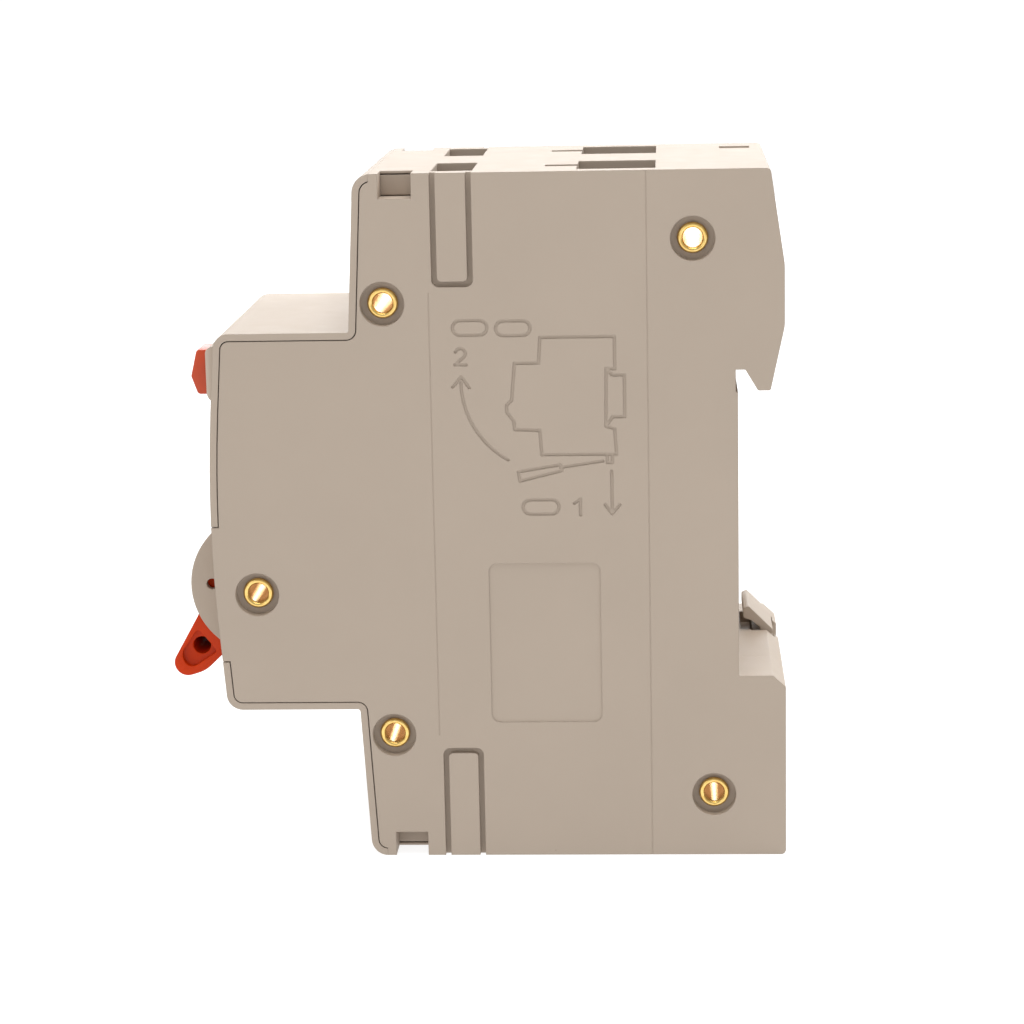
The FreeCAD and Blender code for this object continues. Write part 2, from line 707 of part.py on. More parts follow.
# ---------------------------------------------------------------- toggle and contact carrier
def crank_geometry():
    """Where the link's two pins sit in the off position, as (y, z) pairs."""
    half_toggle = math.radians(toggle_swing / 2)
    half_carrier = math.radians(carrier_swing / 2)
    carrier_crank_r = toggle_crank_r * math.sin(half_toggle) / math.sin(half_carrier)
    span = math.hypot(shaft_y - axis_y, shaft_z - axis_z)
    bearing = math.atan2(shaft_z - axis_z, shaft_y - axis_y)
    square = bearing + math.acos(-(carrier_crank_r - toggle_crank_r) / span)
    toggle_angle = square + half_toggle
    carrier_angle = square + half_carrier
    toggle_pin = (axis_y + toggle_crank_r * math.cos(toggle_angle),
                  axis_z + toggle_crank_r * math.sin(toggle_angle))
    carrier_pin = (shaft_y + carrier_crank_r * math.cos(carrier_angle),
                   shaft_z + carrier_crank_r * math.sin(carrier_angle))
    return toggle_pin, carrier_pin, carrier_angle, carrier_crank_r


def from_axis(corners):
    """Outline corners given from the toggle's axis, placed in the case."""
    return [(axis_y + y, axis_z + z, radius) for y, z, radius in corners]


def toggle_lever():
    """Drum and handle in one, standing in the off position."""
    x = around(0, toggle_half_w)
    handle = plate(from_axis([(-1.2, -1.6, 0), (-7.5, -1.8, 0), (-8.3, -4.1, 1.5), (-13.2, -12.7, 1.6),
                              (-7.6, -11.0, 4.0), (-5.1, -8.6, 0.8), (-3.2, -5.6, 0)]), x)
    lever = joined([rod_x(axis_y, axis_z, drum_r, x), handle])
    pocket_x = (toggle_half_w - pocket_depth, toggle_half_w + past)
    pocket = plate(from_axis([(-8.4, -5.7, 0.4), (-10.7, -9.0, 1.6), (-9.6, -10.95, 1.05),
                              (-6.1, -8.6, 0.4)]), pocket_x)
    cuts = [pocket, mirrored_x(pocket), rod_x(*tie_hole, tie_hole_r, around(0, toggle_half_w + past))]
    cuts.append(rod_x(axis_y, axis_z, rivet_r + rivet_fit, around(0, toggle_half_w + past)))
    for slot_x in (link_slot_x, spring_slot_x):
        room = box(slot_x, (axis_y - slot_front, axis_y + drum_r + past), around(axis_z, drum_r + past))
        cuts.append(room.cut(rod_x(axis_y, axis_z, sleeve_r, slot_x)))
    pin, _, _, _ = crank_geometry()
    cuts.append(rod_x(*pin, link_r + link_fit, (-1.0, link_slot_x[0] + 0.1)))
    return lever.cut(cuts)


def toggle_spring():
    """The winding of the torsion spring round the drum's sleeve."""
    start_x = spring_slot_x[0] + 0.8
    return coil(Vector(start_x, axis_y, axis_z), X_AXIS, 2.4, spring_r, spring_wire_r, 3)


def toggle_link():
    """The bent wire that joins the toggle to the contact carrier."""
    pin, far_pin, _, _ = crank_geometry()
    points = [(-0.6, *pin), (link_x, *pin), (link_x, *far_pin), (lobe_x[0] + 0.05, *far_pin)]
    return tube(points, link_r, link_bend)


def crank_lobe():
    """The carrier's arm with the slot that the link's pin moves in."""
    _, pin, angle, _ = crank_geometry()
    along = (math.cos(angle), math.sin(angle))
    aside = (-along[1], along[0])

    def corner(centre, out, side, radius):
        y = centre[0] + along[0] * out + aside[0] * side
        z = centre[1] + along[1] * out + aside[1] * side
        return (y, z, radius)

    root = (shaft_y, shaft_z)
    lobe = plate([corner(root, 0, -2.6, 0), corner(pin, 2.4, -2.0, 1.2), corner(pin, 2.4, 2.0, 1.2),
                  corner(root, 0, 2.6, 0)], lobe_x)
    width = link_r + link_fit
    slot = plate([corner(pin, -1.5, -width, 0), corner(pin, 1.5, -width, 0), corner(pin, 1.5, width, 0),
                  corner(pin, -1.5, width, 0)], (lobe_x[0] - 1, lobe_x[1] + 1))
    return lobe.cut(slot)


def contact_carrier():
    """The rotor that swings both poles' contact arms, in the off position."""
    hub = rod_x(shaft_y, shaft_z, hub_r, around(0, hub_half_w))
    pieces = [hub, crank_lobe()]
    cheek_shape = [(shaft_y - 3.0, shaft_z + 1.0, 0), (shaft_y + 3.6, shaft_z + 1.0, 0),
                   (shaft_y + 4.2, shaft_z + 9.0, 1.0), (shaft_y - 0.4, shaft_z + 9.0, 1.0)]
    for side in (-1, 1):
        for offset in (-1, 1):
            inner = side * arm_x + offset * (arm_t / 2 + cheek_plate_gap)
            cheek = plate(cheek_shape, (inner, inner + offset * cheek_plate_t))
            pieces.append(turned(cheek, shaft_y, shaft_z, carrier_swing))
        peg = rod_x(*peg_at, peg_r, around(side * arm_x, arm_t / 2 + cheek_plate_gap + 0.1))
        pieces.append(turned(peg, shaft_y, shaft_z, carrier_swing))
    return joined(pieces).cut(rod_x(shaft_y, shaft_z, shaft_r + shaft_fit, around(0, half_w)))


def moving_contact(side):
    """One pole's contact arm in the off position."""
    tip_y = contact_y - tip_gap - tip_t
    shape = [(shaft_y - 1.2, shaft_z + 4.5, 0), (shaft_y + 1.1, shaft_z + 4.5, 0),
             (tip_y, fixed_z - 3.6, 1.0), (tip_y, fixed_z + 2.6, 0.6),
             (tip_y - 1.6, fixed_z + 2.6, 0.6), (tip_y - 1.6, fixed_z - 3.2, 1.0)]
    arm = plate(shape, around(side * arm_x, arm_t / 2))
    arm = arm.cut(rod_x(*peg_at, peg_r + peg_fit, around(side * arm_x, arm_t)))
    return turned(arm, shaft_y, shaft_z, carrier_swing)


def moving_contact_tips():
    tips = []
    for side in (-1, 1):
        reach_y = (contact_y - tip_gap - tip_t, contact_y - tip_gap)
        tip = rod_y(side * arm_x, fixed_z, tip_r - tip_gap, reach_y)
        tips.append(turned(tip, shaft_y, shaft_z, carrier_swing))
    return Part.makeCompound(tips)


def fixed_contact_tips():
    tips = [rod_y(side * arm_x, fixed_z, tip_r, (contact_y, bar_y[0])) for side in (-1, 1)]
    return Part.makeCompound(tips)


# ---------------------------------------------------------------- terminals and conductors
def upper_terminal_bar(side):
    """From the upper clamp down to the fixed contact."""
    pad = box(around(side * terminal_x, bar_half_w), bar_y, bar_pad_z)
    strip_z = (fixed_z - 2.2, bar_pad_z[0] + strip_lap)
    strip = box(around(side * arm_x, strip_half_w), bar_y, strip_z)
    return joined([pad, strip])


def lower_terminal_bar(side, top):
    """From the lower clamp up to the end of the primary conductor."""
    pad = box(around(side * terminal_x, bar_half_w), bar_y, (-bar_pad_z[1], -bar_pad_z[0]))
    strip = box(around(side * terminal_x, strip_half_w), bar_y, (-bar_pad_z[0] - strip_lap, top))
    return joined([pad, strip])


def cage_clamp(side, up):
    """A lift clamp: a loop round the terminal bar, threaded at the front."""
    x = side * terminal_x
    z = up * terminal_z
    loop = box(around(x, cage_half_w), cage_y, around(z, cage_half_h))
    inside_y = (cage_y[0] + cage_nut_t, cage_y[1] - cage_t)
    hollow = box(around(x, cage_half_w - cage_t), inside_y, around(z, cage_half_h + 1))
    thread = rod_y(x, z, screw_r + screw_fit, (cage_y[0] - 1, inside_y[0] + 0.1))
    return loop.cut([hollow, thread])


def terminal_screw(side, up):
    """A pan-head clamp screw with a cross recess."""
    x = side * terminal_x
    z = up * terminal_z
    head = rod_y(x, z, head_r, head_y)
    rim = [e for e in head.Edges if abs(e.CenterOfMass.y - head_y[0]) < 0.01 and e.Length > 10]
    head = head.makeFillet(0.5, rim)
    shank = rod_y(x, z, screw_r, (head_y[1] - 0.5, bar_y[0] - 0.6))
    depth = (head_y[0] - past, head_y[0] + recess_depth)
    bars = [box(around(x, recess_reach), depth, around(z, recess_half_w)),
            box(around(x, recess_half_w), depth, around(z, recess_reach))]
    return joined([head, shank]).cut(bars)


def primary_conductor_1():
    """The right pole's wire: through the transformer and back to its lower bar."""
    left_x = -14.2
    points = [(arm_x, -25.2, -21.5), (arm_x, -14.4, -21.5), (arm_x, -14.4, -12.8), (left_x, -14.4, -12.8),
              (left_x, -14.4, -25.0), (terminal_x, -14.4, -25.0), (terminal_x, bar_y[1], -25.0)]
    return tube(points, wire_r, 1.6)


def primary_conductor_2():
    """The left pole's wire, threaded the other way."""
    left_x = -14.2
    points = [(-arm_x, -25.2, -21.5), (left_x, -25.2, -21.5), (left_x, -25.2, -9.6), (left_x, -11.4, -9.6),
              (3.0, -11.4, -9.6), (3.0, -11.4, -27.6), (-terminal_x, -11.4, -27.6),
              (-terminal_x, bar_y[1], -27.6)]
    return tube(points, wire_r, 1.6)


def arc_plates(side):
    """Steel splitter plates above the contacts."""
    plates = []
    mouth_z = (arc_plate_z[0] - past, arc_plate_z[0] + 3.6)
    for i in range(arc_plate_count):
        y = arc_start_y + i * arc_plate_pitch
        leaf = box(around(side * arm_x, arc_plate_half_w), (y, y + arc_plate_t), arc_plate_z)
        plates.append(leaf.cut(box(around(side * arm_x, arm_t / 2), (y - past, y + 2), mouth_z)))
    return Part.makeCompound(plates)


def arc_cheeks():
    """Fibre cards that hold the splitter plates by their edges."""
    cards = []
    for side in (-1, 1):
        for offset in (-1, 1):
            inner = side * arm_x + offset * arc_plate_half_w
            card_y = (arc_start_y - 0.6, arc_start_y + arc_plate_count * arc_plate_pitch - 0.7)
            card_z = (arc_plate_z[0] - 0.4, arc_plate_z[1] + 0.4)
            cards.append(box((inner, inner + offset * cheek_card_t), card_y, card_z))
    return Part.makeCompound(cards)


# ---------------------------------------------------------------- residual current transformer
def toroid_housing():
    """An annular cup, open towards -X."""
    body = rod_x(toroid_y, toroid_z, toroid_r, toroid_x)
    inner_x = (toroid_x[0] - 1, toroid_x[1] - toroid_wall)
    hollow = rod_x(toroid_y, toroid_z, toroid_r - toroid_wall, inner_x)
    hollow = hollow.cut(rod_x(toroid_y, toroid_z, toroid_hole_r + toroid_wall, inner_x))
    return body.cut([hollow, rod_x(toroid_y, toroid_z, toroid_hole_r, around(0, half_w))])


def toroid_core():
    core_x = (toroid_x[0] + 1.9, toroid_x[1] - 2.1)
    outer = rod_x(toroid_y, toroid_z, toroid_r - 1.9, core_x)
    return outer.cut(rod_x(toroid_y, toroid_z, toroid_hole_r + 1.9, core_x))


def toroid_winding():
    """Turns of wire round the core, evenly spread."""
    reach_y = (toroid_y + toroid_hole_r + 1.1, toroid_y + toroid_r - 1.1)
    reach_x = (toroid_x[0] + 1.1, toroid_x[1] - 1.3)
    thick = 0.55
    loop = box(reach_x, reach_y, around(toroid_z, 0.26))
    inside_x = (reach_x[0] + thick, reach_x[1] - thick)
    inside_y = (reach_y[0] + thick, reach_y[1] - thick)
    loop = loop.cut(box(inside_x, inside_y, around(toroid_z, 1)))
    turns = [turned(loop, toroid_y, toroid_z, 360 * i / winding_turns) for i in range(winding_turns)]
    return Part.makeCompound(turns)


# ---------------------------------------------------------------- trip relay
def relay_housing():
    """A box, open towards +X, with a hole below for the plunger."""
    body = box(relay_x, relay_y, relay_z)
    skin = relay_skin
    room = box((relay_x[0] + skin, relay_x[1] + past), (relay_y[0] + skin, relay_y[1] - skin),
               (relay_z[0] + skin, relay_z[1] - skin))
    return body.cut([room, rod_z(*plunger_at, plunger_r + 0.2, (relay_z[0] - 1, relay_z[0] + 2))])


def relay_yoke():
    """A C-shaped iron frame round the coil."""
    x = (relay_x[0] + 1.0, plunger_at[0] + 4.2)
    y = around(plunger_at[1], 3.4)
    low = relay_z[0] + 1.2
    high = relay_z[1] - 1.7
    frame = box(x, y, (low, high))
    frame = frame.cut(box((x[0] + 1.0, x[1] + 1), (y[0] - 1, y[1] + 1), (low + 1.2, high - 1.2)))
    return frame.cut(rod_z(*plunger_at, plunger_r + 0.25, (low - 1, low + 2)))


def relay_coil():
    z = (relay_z[0] + 2.6, relay_z[1] - 3.1)
    flanges = [rod_z(*plunger_at, 3.7, (z[0], z[0] + 0.6)), rod_z(*plunger_at, 3.7, (z[1] - 0.6, z[1]))]
    body = joined([rod_z(*plunger_at, 3.2, z)] + flanges)
    return body.cut(rod_z(*plunger_at, plunger_r + 0.35, (z[0] - 1, z[1] + 1)))


def relay_plunger():
    return rod_z(*plunger_at, plunger_r, (trip_pin_at[1] + trip_arm_half_t + 0.2, plunger_top_z))


def trip_lever():
    """The lever that the plunger strikes, pivoted on its pin."""
    y, z = trip_pin_at
    x = around(plunger_at[0], 1.5)
    arm = box(x, (y - trip_arm_l, y), around(z, trip_arm_half_t))
    eye = rod_x(y, z, trip_pin_r + trip_arm_half_t, x)
    return joined([arm, eye]).cut(rod_x(y, z, trip_pin_r + pin_fit, around(plunger_at[0], 3)))


def trip_lever_pin():
    return rod_x(*trip_pin_at, trip_pin_r, (-0.5, half_w - 1.0))


# ---------------------------------------------------------------- circuit board
def circuit_board():
    return box(board_x, board_y, board_z)


def capacitor():
    can = rod_x(-8.0, 15.0, 2.6, (board_x[0] - 6.0, board_x[0]))
    end = [e for e in can.Edges if abs(e.CenterOfMass.x - (board_x[0] - 6.0)) < 0.01 and e.Length > 10]
    return can.makeFillet(0.4, end)


def board_diodes():
    bodies = [rod_z(board_x[0] - 0.9, -15.5 + i * 2.4, 0.85, (5.0, 9.0)) for i in range(3)]
    return Part.makeCompound(bodies)


def test_resistor():
    body = rod_z(board_x[0] - 1.5, -5.6, 1.4, (4.0, 10.6))
    return body.makeFillet(0.4, [e for e in body.Edges if e.Length > 8.5 and e.Closed])


# ---------------------------------------------------------------- test button
def test_button():
    """The orange key with its retaining wings and stem."""
    x = around(button_x, button_half_w)
    back_y = button_back_y
    key = plate([(back_y, button_z[0], 0), (back_y, button_z[1], 0), (button_face_y, button_z[1], 0.4),
                 (*button_ridge, 0.4), (button_face_y, button_z[0], 0.5)], x)
    wings_x = around(button_x, button_half_w + wing_w)
    wings = box(wings_x, (back_y, back_y + wing_t), (button_z[0] - wing_gap, button_z[1] - wing_gap))
    stem = rod_y(button_x, button_mid_z, stem_r, (back_y, stem_end_y))
    return joined([key, wings, stem])


def test_button_spring():
    start = Vector(button_x, button_back_y + wing_t + 0.3, button_mid_z)
    return coil(start, Y_AXIS, rib_y[0] - 0.35 - start.y, 1.9, 0.25, 5)


def test_contact_strip():
    """The springy strip that the button's stem presses."""
    blade = box(around(button_x, strip_half_w), strip_y, strip_z)
    foot = box(around(button_x, strip_half_w), (strip_y[1] - 0.1, relay_y[0]), (strip_z[0], strip_foot_z))
    return joined([blade, foot])


# ---------------------------------------------------------------- rail clip
def rail_clip():
    """The slider whose nose holds the rail's lower flange."""
    x = around(clip_x, clip_half_w)
    strip = box(x, clip_y, (bottom_z + clip_end_gap, ledge_z - 0.6))
    lip_y = rail_lip + 0.1
    nose = plate([(clip_y[1], ledge_z - 2.0, 0), (clip_y[1], ledge_z - 0.1, 0.4),
                  (1.75, clip_lip_top_z, 0.35), (lip_y, clip_lip_top_z - 0.3, 0.2),
                  (lip_y, clip_lip_low_z, 0.2), (2.2, clip_lip_low_z - 0.4, 0.3),
                  (3.2, ledge_z + 0.2, 0.3), (3.2, ledge_z - 2.0, 0)], around(clip_x, clip_half_w - 0.5))
    tab_top = clip_spring_z[1] + 1.6
    tab_y = (clip_spring_at[1] - clip_tab_half_w, clip_y[0] + 0.2)
    tab = box(around(clip_x, clip_tab_half_w), tab_y, (clip_spring_z[1] + 0.05, tab_top))
    pull_slot_y = (clip_y[0] - past, clip_y[1] + past)
    pull_slot = box(around(clip_x, 2.0), pull_slot_y, (bottom_z + 2.0, bottom_z + 4.2))
    return joined([strip, nose, tab]).cut(pull_slot)


def clip_spring():
    start = Vector(*clip_spring_at, clip_spring_z[0] + 0.25)
    return coil(start, Z_AXIS, clip_spring_z[1] - clip_spring_z[0] - 0.5, 1.15, 0.2, 7)


# ---------------------------------------------------------------- all pieces
def carrier_shaft():
    return rod_x(shaft_y, shaft_z, shaft_r, around(0, half_w - 1.05))


def build_nodes():
    """Every piece by name."""
    nodes = {
        "right_side_shell": right_side_shell(True),
        "left_side_shell": left_side_shell(),
        "centre_frame": centre_frame(),
        "front_fascia": front_fascia(),
        "case_rivets": case_rivets(),
        "rail_clip": rail_clip(),
        "clip_spring": clip_spring(),
        "toggle_lever": toggle_lever(),
        "toggle_spring": toggle_spring(),
        "toggle_link": toggle_link(),
        "contact_carrier": contact_carrier(),
        "carrier_shaft": carrier_shaft(),
        "moving_contact_tips": moving_contact_tips(),
        "fixed_contact_tips": fixed_contact_tips(),
        "arc_cheeks": arc_cheeks(),
        "primary_conductor_1": primary_conductor_1(),
        "primary_conductor_2": primary_conductor_2(),
        "toroid_housing": toroid_housing(),
        "toroid_core": toroid_core(),
        "toroid_winding": toroid_winding(),
        "relay_housing": relay_housing(),
        "relay_yoke": relay_yoke(),
        "relay_coil": relay_coil(),
        "relay_plunger": relay_plunger(),
        "trip_lever": trip_lever(),
        "trip_lever_pin": trip_lever_pin(),
        "circuit_board": circuit_board(),
        "capacitor": capacitor(),
        "board_diodes": board_diodes(),
        "test_resistor": test_resistor(),
        "test_button": test_button(),
        "test_button_spring": test_button_spring(),
        "test_contact_strip": test_contact_strip(),
        "lower_terminal_bar_1": lower_terminal_bar(1, -23.6),
        "lower_terminal_bar_2": lower_terminal_bar(-1, -26.2),
    }
    for pole, side in (("1", 1), ("2", -1)):
        nodes["moving_contact_" + pole] = moving_contact(side)
        nodes["upper_terminal_bar_" + pole] = upper_terminal_bar(side)
        nodes["arc_plates_" + pole] = arc_plates(side)
        for level, up in (("upper", 1), ("lower", -1)):
            nodes[level + "_cage_clamp_" + pole] = cage_clamp(side, up)
            nodes[level + "_terminal_screw_" + pole] = terminal_screw(side, up)
    return nodes


os.makedirs("parts", exist_ok=True)
for name, shape in build_nodes().items():
    print(f"{name:26s} solids {len(shape.Solids):3d}  volume {shape.Volume:10.2f}  valid {shape.isValid()}")
    shape.exportStep("parts/" + name + ".step")
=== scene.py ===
# %% [markdown]
# # A two-pole residual current device, finished for the studio
#
# The device clips onto a rail in an electrical panel. Its case is three mouldings held
# by five tubular rivets, with a thin front cover, a tilting orange toggle and an orange
# test button. Everything inside is there too: clamps, screws, contacts, a wound
# transformer and a small relay.
#
# The engineering model already holds every shape and every joint. This lesson dresses it.
# It loads that model, sets up a camera and a pale studio, mixes one finish for each
# material, and then makes the pieces that a CAD solid only hints at: rolled rivets,
# coil springs, screw threads, a wound core, and mouldings with softly broken edges.

import json
import math

import bmesh
import bpy
from mathutils import Matrix, Vector


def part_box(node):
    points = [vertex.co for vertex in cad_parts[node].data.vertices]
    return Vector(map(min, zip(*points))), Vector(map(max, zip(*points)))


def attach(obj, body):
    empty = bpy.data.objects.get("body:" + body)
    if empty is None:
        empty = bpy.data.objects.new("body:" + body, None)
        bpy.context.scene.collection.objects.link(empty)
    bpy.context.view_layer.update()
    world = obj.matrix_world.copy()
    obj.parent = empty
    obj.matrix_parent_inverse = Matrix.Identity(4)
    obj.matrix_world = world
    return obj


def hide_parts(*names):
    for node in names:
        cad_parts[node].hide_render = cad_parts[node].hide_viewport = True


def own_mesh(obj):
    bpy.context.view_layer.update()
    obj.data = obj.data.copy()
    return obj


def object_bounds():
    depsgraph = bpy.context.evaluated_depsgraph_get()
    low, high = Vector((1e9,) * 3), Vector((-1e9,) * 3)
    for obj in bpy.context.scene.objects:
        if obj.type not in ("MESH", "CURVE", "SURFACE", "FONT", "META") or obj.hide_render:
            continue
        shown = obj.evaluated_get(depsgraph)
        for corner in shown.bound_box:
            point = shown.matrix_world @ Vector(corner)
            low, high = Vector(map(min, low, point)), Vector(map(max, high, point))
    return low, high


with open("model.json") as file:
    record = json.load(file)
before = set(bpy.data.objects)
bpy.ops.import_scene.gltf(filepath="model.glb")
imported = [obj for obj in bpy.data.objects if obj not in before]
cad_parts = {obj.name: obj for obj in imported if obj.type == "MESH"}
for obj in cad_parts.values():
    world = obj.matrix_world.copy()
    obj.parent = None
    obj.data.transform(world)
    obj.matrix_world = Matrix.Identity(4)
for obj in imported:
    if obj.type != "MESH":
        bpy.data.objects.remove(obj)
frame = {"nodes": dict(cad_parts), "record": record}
cad_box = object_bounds()
nodes = frame["nodes"]
record = frame["record"]
mm = 0.001

print("pieces in the frame:", len(nodes))
print("overall size in mm:", [round(v / mm, 2) for v in cad_box[1] - cad_box[0]])

# %% [markdown]
# ## The camera
#
# The device is seen from its right side, a little from above, through a fairly long
# lens. A long lens keeps the side face nearly square, and still lets the top faces
# show as narrow bands. The angles are those of a hand-levelled tripod: almost square
# on, with a small roll.

# %% Set the camera
CAMERA_PLACE = (0.344134, -0.008052, 0.069769)
CAMERA_TURN = (78.1652, 1.1496, 92.984)
LENS = 100.286
SENSOR_WIDTH = 36.0
NEAREST, FARTHEST = 0.02, 20.0

camera_data = bpy.data.cameras.new("studio_camera")
camera_data.lens = LENS
camera_data.sensor_width = SENSOR_WIDTH
camera_data.clip_start = NEAREST
camera_data.clip_end = FARTHEST
camera = bpy.data.objects.new("studio_camera", camera_data)
camera.location = CAMERA_PLACE
camera.rotation_euler = [math.radians(angle) for angle in CAMERA_TURN]
bpy.context.scene.collection.objects.link(camera)
bpy.context.scene.camera = camera
print("camera distance in mm:", round(camera.location.length / mm))

# %% [markdown]
# ## The studio
#
# A product like this is shot on a white sweep, with a big soft light overhead and
# weaker ones round the sides. The floor is one large plane with a faint glow of its
# own, so it stays white however far it runs. The lights are area lamps, because their
# reflections give the brass and the orange plastic long soft highlights. Small lamps
# would give hard spots. The lamps themselves are hidden from the camera. The one on
# the left is low, so its light skims over the top faces and whitens them. The plain
# view transform keeps the floor white and the plastic's own colour.

# %% Build the floor
FLOOR_HALF = 6.0
PAPER_GREY = (0.3, 0.3, 0.3, 1)
PAPER_GLOW = 0.85
PAPER_ROUGHNESS = 0.9
PAPER_SPECULAR = 0.1

floor_z = cad_box[0].z
floor_mesh = bpy.data.meshes.new("studio_floor")
floor_corners = [(x * FLOOR_HALF, y * FLOOR_HALF, floor_z) for x, y in ((-1, -1), (1, -1), (1, 1), (-1, 1))]
floor_mesh.from_pydata(floor_corners, [], [(0, 1, 2, 3)])
floor = bpy.data.objects.new("studio_floor", floor_mesh)
bpy.context.scene.collection.objects.link(floor)
floor_paper = bpy.data.materials.new("white_paper")
floor_paper.use_nodes = True
paper = floor_paper.node_tree.nodes["Principled BSDF"]
paper.inputs["Base Color"].default_value = PAPER_GREY
paper.inputs["Roughness"].default_value = PAPER_ROUGHNESS
paper.inputs["Specular IOR Level"].default_value = PAPER_SPECULAR
paper.inputs["Emission Color"].default_value = (1, 1, 1, 1)
paper.inputs["Emission Strength"].default_value = PAPER_GLOW
floor_mesh.materials.append(floor_paper)
print("floor at Z in mm:", round(floor_z / mm, 2))

# %% Hang the lights
AIR_COLOUR = (1.0, 0.985, 0.96, 1)
AIR_STRENGTH = 0.62
AIM = Vector((0, -0.03, 0))
WARM = (1.0, 0.97, 0.93)
NEUTRAL = (0.98, 0.98, 0.98)
COOL = (0.97, 0.99, 1.0)
SKY = (0.93, 0.97, 1.0)

bpy.context.scene.view_settings.view_transform = "Standard"
world = bpy.data.worlds.new("studio_air")
world.use_nodes = True
air = world.node_tree.nodes["Background"]
air.inputs["Color"].default_value = AIR_COLOUR
air.inputs["Strength"].default_value = AIR_STRENGTH
bpy.context.scene.world = world


def soft_light(name, place, size, power, colour):
    """A square softbox that faces the middle of the device."""
    lamp = bpy.data.lights.new(name, "AREA")
    lamp.size = size
    lamp.energy = power
    lamp.color = colour
    softbox = bpy.data.objects.new(name, lamp)
    softbox.location = place
    softbox.rotation_euler = (AIM - Vector(place)).to_track_quat("-Z", "Y").to_euler()
    softbox.visible_camera = False
    bpy.context.scene.collection.objects.link(softbox)


soft_light("overhead_softbox", (0.04, -0.02, 0.62), 0.50, 3.6, NEUTRAL)
soft_light("right_softbox", (0.62, -0.40, 0.22), 0.30, 0.25, WARM)
soft_light("front_softbox", (-0.15, -0.70, 0.30), 0.45, 1.3, WARM)
soft_light("rear_softbox", (-0.30, 0.60, 0.38), 0.45, 3.4, COOL)
soft_light("left_softbox", (-0.72, -0.02, 0.20), 0.50, 2.2, SKY)

# %% [markdown]
# ## How the finishes are mixed
#
# Every finish here is a Principled shader with three things added to it: a slight
# change of colour over the surface, a grain in the normal, and a softened edge. A
# flat colour would look like a diagram. A picture wrapped round the piece could do
# the same, but it would need unwrapping, and the grain would stretch. So the pattern
# is worked out in the piece's own space, in metres, and it fits every side.
#
# The edge is the useful trick. The Bevel node averages the normal within a small
# radius, so a sharp CAD arris catches the light like a moulded one. Comparing that
# soft normal with the true one also tells where the edges are, and there the colour
# is lifted a little. That is a painted highlight: it stands for the light that
# rounded arrises catch.

# %% Helpers for shader nodes
GRAIN_SEED = 3.7
BEVEL_SAMPLES = 6
SHARPEST_LIKENESS = 0.75     # where the soft and the true normal differ this much, it is an edge


def new_finish(name, roughness, metallic=0.0, specular=0.5):
    """A material with one Principled shader, its uniform values set on its own sockets."""
    material = bpy.data.materials.new(name)
    material.use_nodes = True
    shader = material.node_tree.nodes["Principled BSDF"]
    shader.inputs["Roughness"].default_value = roughness
    shader.inputs["Metallic"].default_value = metallic
    shader.inputs["Specular IOR Level"].default_value = specular
    return material, material.node_tree, shader


def noise(tree, size, detail=2.0, stretch=(1, 1, 1)):
    """Noise whose features are about size metres across, in the piece's own space."""
    place = tree.nodes.new("ShaderNodeTexCoord")
    mapping = tree.nodes.new("ShaderNodeMapping")
    mapping.inputs["Location"].default_value = (GRAIN_SEED, GRAIN_SEED / 2, GRAIN_SEED / 3)
    mapping.inputs["Scale"].default_value = stretch
    texture = tree.nodes.new("ShaderNodeTexNoise")
    texture.inputs["Scale"].default_value = 1 / size
    texture.inputs["Detail"].default_value = detail
    tree.links.new(place.outputs["Object"], mapping.inputs["Vector"])
    tree.links.new(mapping.outputs["Vector"], texture.inputs["Vector"])
    return texture.outputs["Fac"]


def ramp(tree, value, stops):
    """Colours spread over a value, from (position, colour) stops."""
    node = tree.nodes.new("ShaderNodeValToRGB")
    tree.links.new(value, node.inputs["Fac"])
    elements = node.color_ramp.elements
    while len(elements) < len(stops):
        elements.new(0.5)
    for element, (position, colour) in zip(elements, stops):
        element.position = position
        element.color = (*colour, 1)
    return node.outputs["Color"]


def tinted(colour, factor):
    """The colour, made lighter or darker."""
    return tuple(min(channel * factor, 1.0) for channel in colour)


def soft_edges(tree, radius):
    """The Bevel node's normal, and a mask that is 1 along the edges."""
    bevel = tree.nodes.new("ShaderNodeBevel")
    bevel.samples = BEVEL_SAMPLES
    bevel.inputs["Radius"].default_value = radius
    surface = tree.nodes.new("ShaderNodeNewGeometry")
    likeness = tree.nodes.new("ShaderNodeVectorMath")
    likeness.operation = "DOT_PRODUCT"
    tree.links.new(bevel.outputs["Normal"], likeness.inputs[0])
    tree.links.new(surface.outputs["Normal"], likeness.inputs[1])
    mask = tree.nodes.new("ShaderNodeMapRange")
    mask.inputs["From Min"].default_value = 1.0
    mask.inputs["From Max"].default_value = SHARPEST_LIKENESS
    tree.links.new(likeness.outputs["Value"], mask.inputs["Value"])
    return bevel.outputs["Normal"], mask.outputs["Result"]


def mixed(tree, mask, colour, edge_colour):
    """The colour, turned to edge_colour where the mask is 1."""
    mix = tree.nodes.new("ShaderNodeMix")
    mix.data_type = "RGBA"
    tree.links.new(mask, mix.inputs["Factor"])
    tree.links.new(colour, mix.inputs["A"])
    mix.inputs["B"].default_value = (*edge_colour, 1)
    return mix.outputs["Result"]


def grain(tree, shader, height, depth, normal=None):
    """Turns a height pattern into relief of depth metres."""
    bump = tree.nodes.new("ShaderNodeBump")
    bump.inputs["Strength"].default_value = 1.0
    bump.inputs["Distance"].default_value = depth
    tree.links.new(height, bump.inputs["Height"])
    if normal:
        tree.links.new(normal, bump.inputs["Normal"])
    tree.links.new(bump.outputs["Normal"], shader.inputs["Normal"])


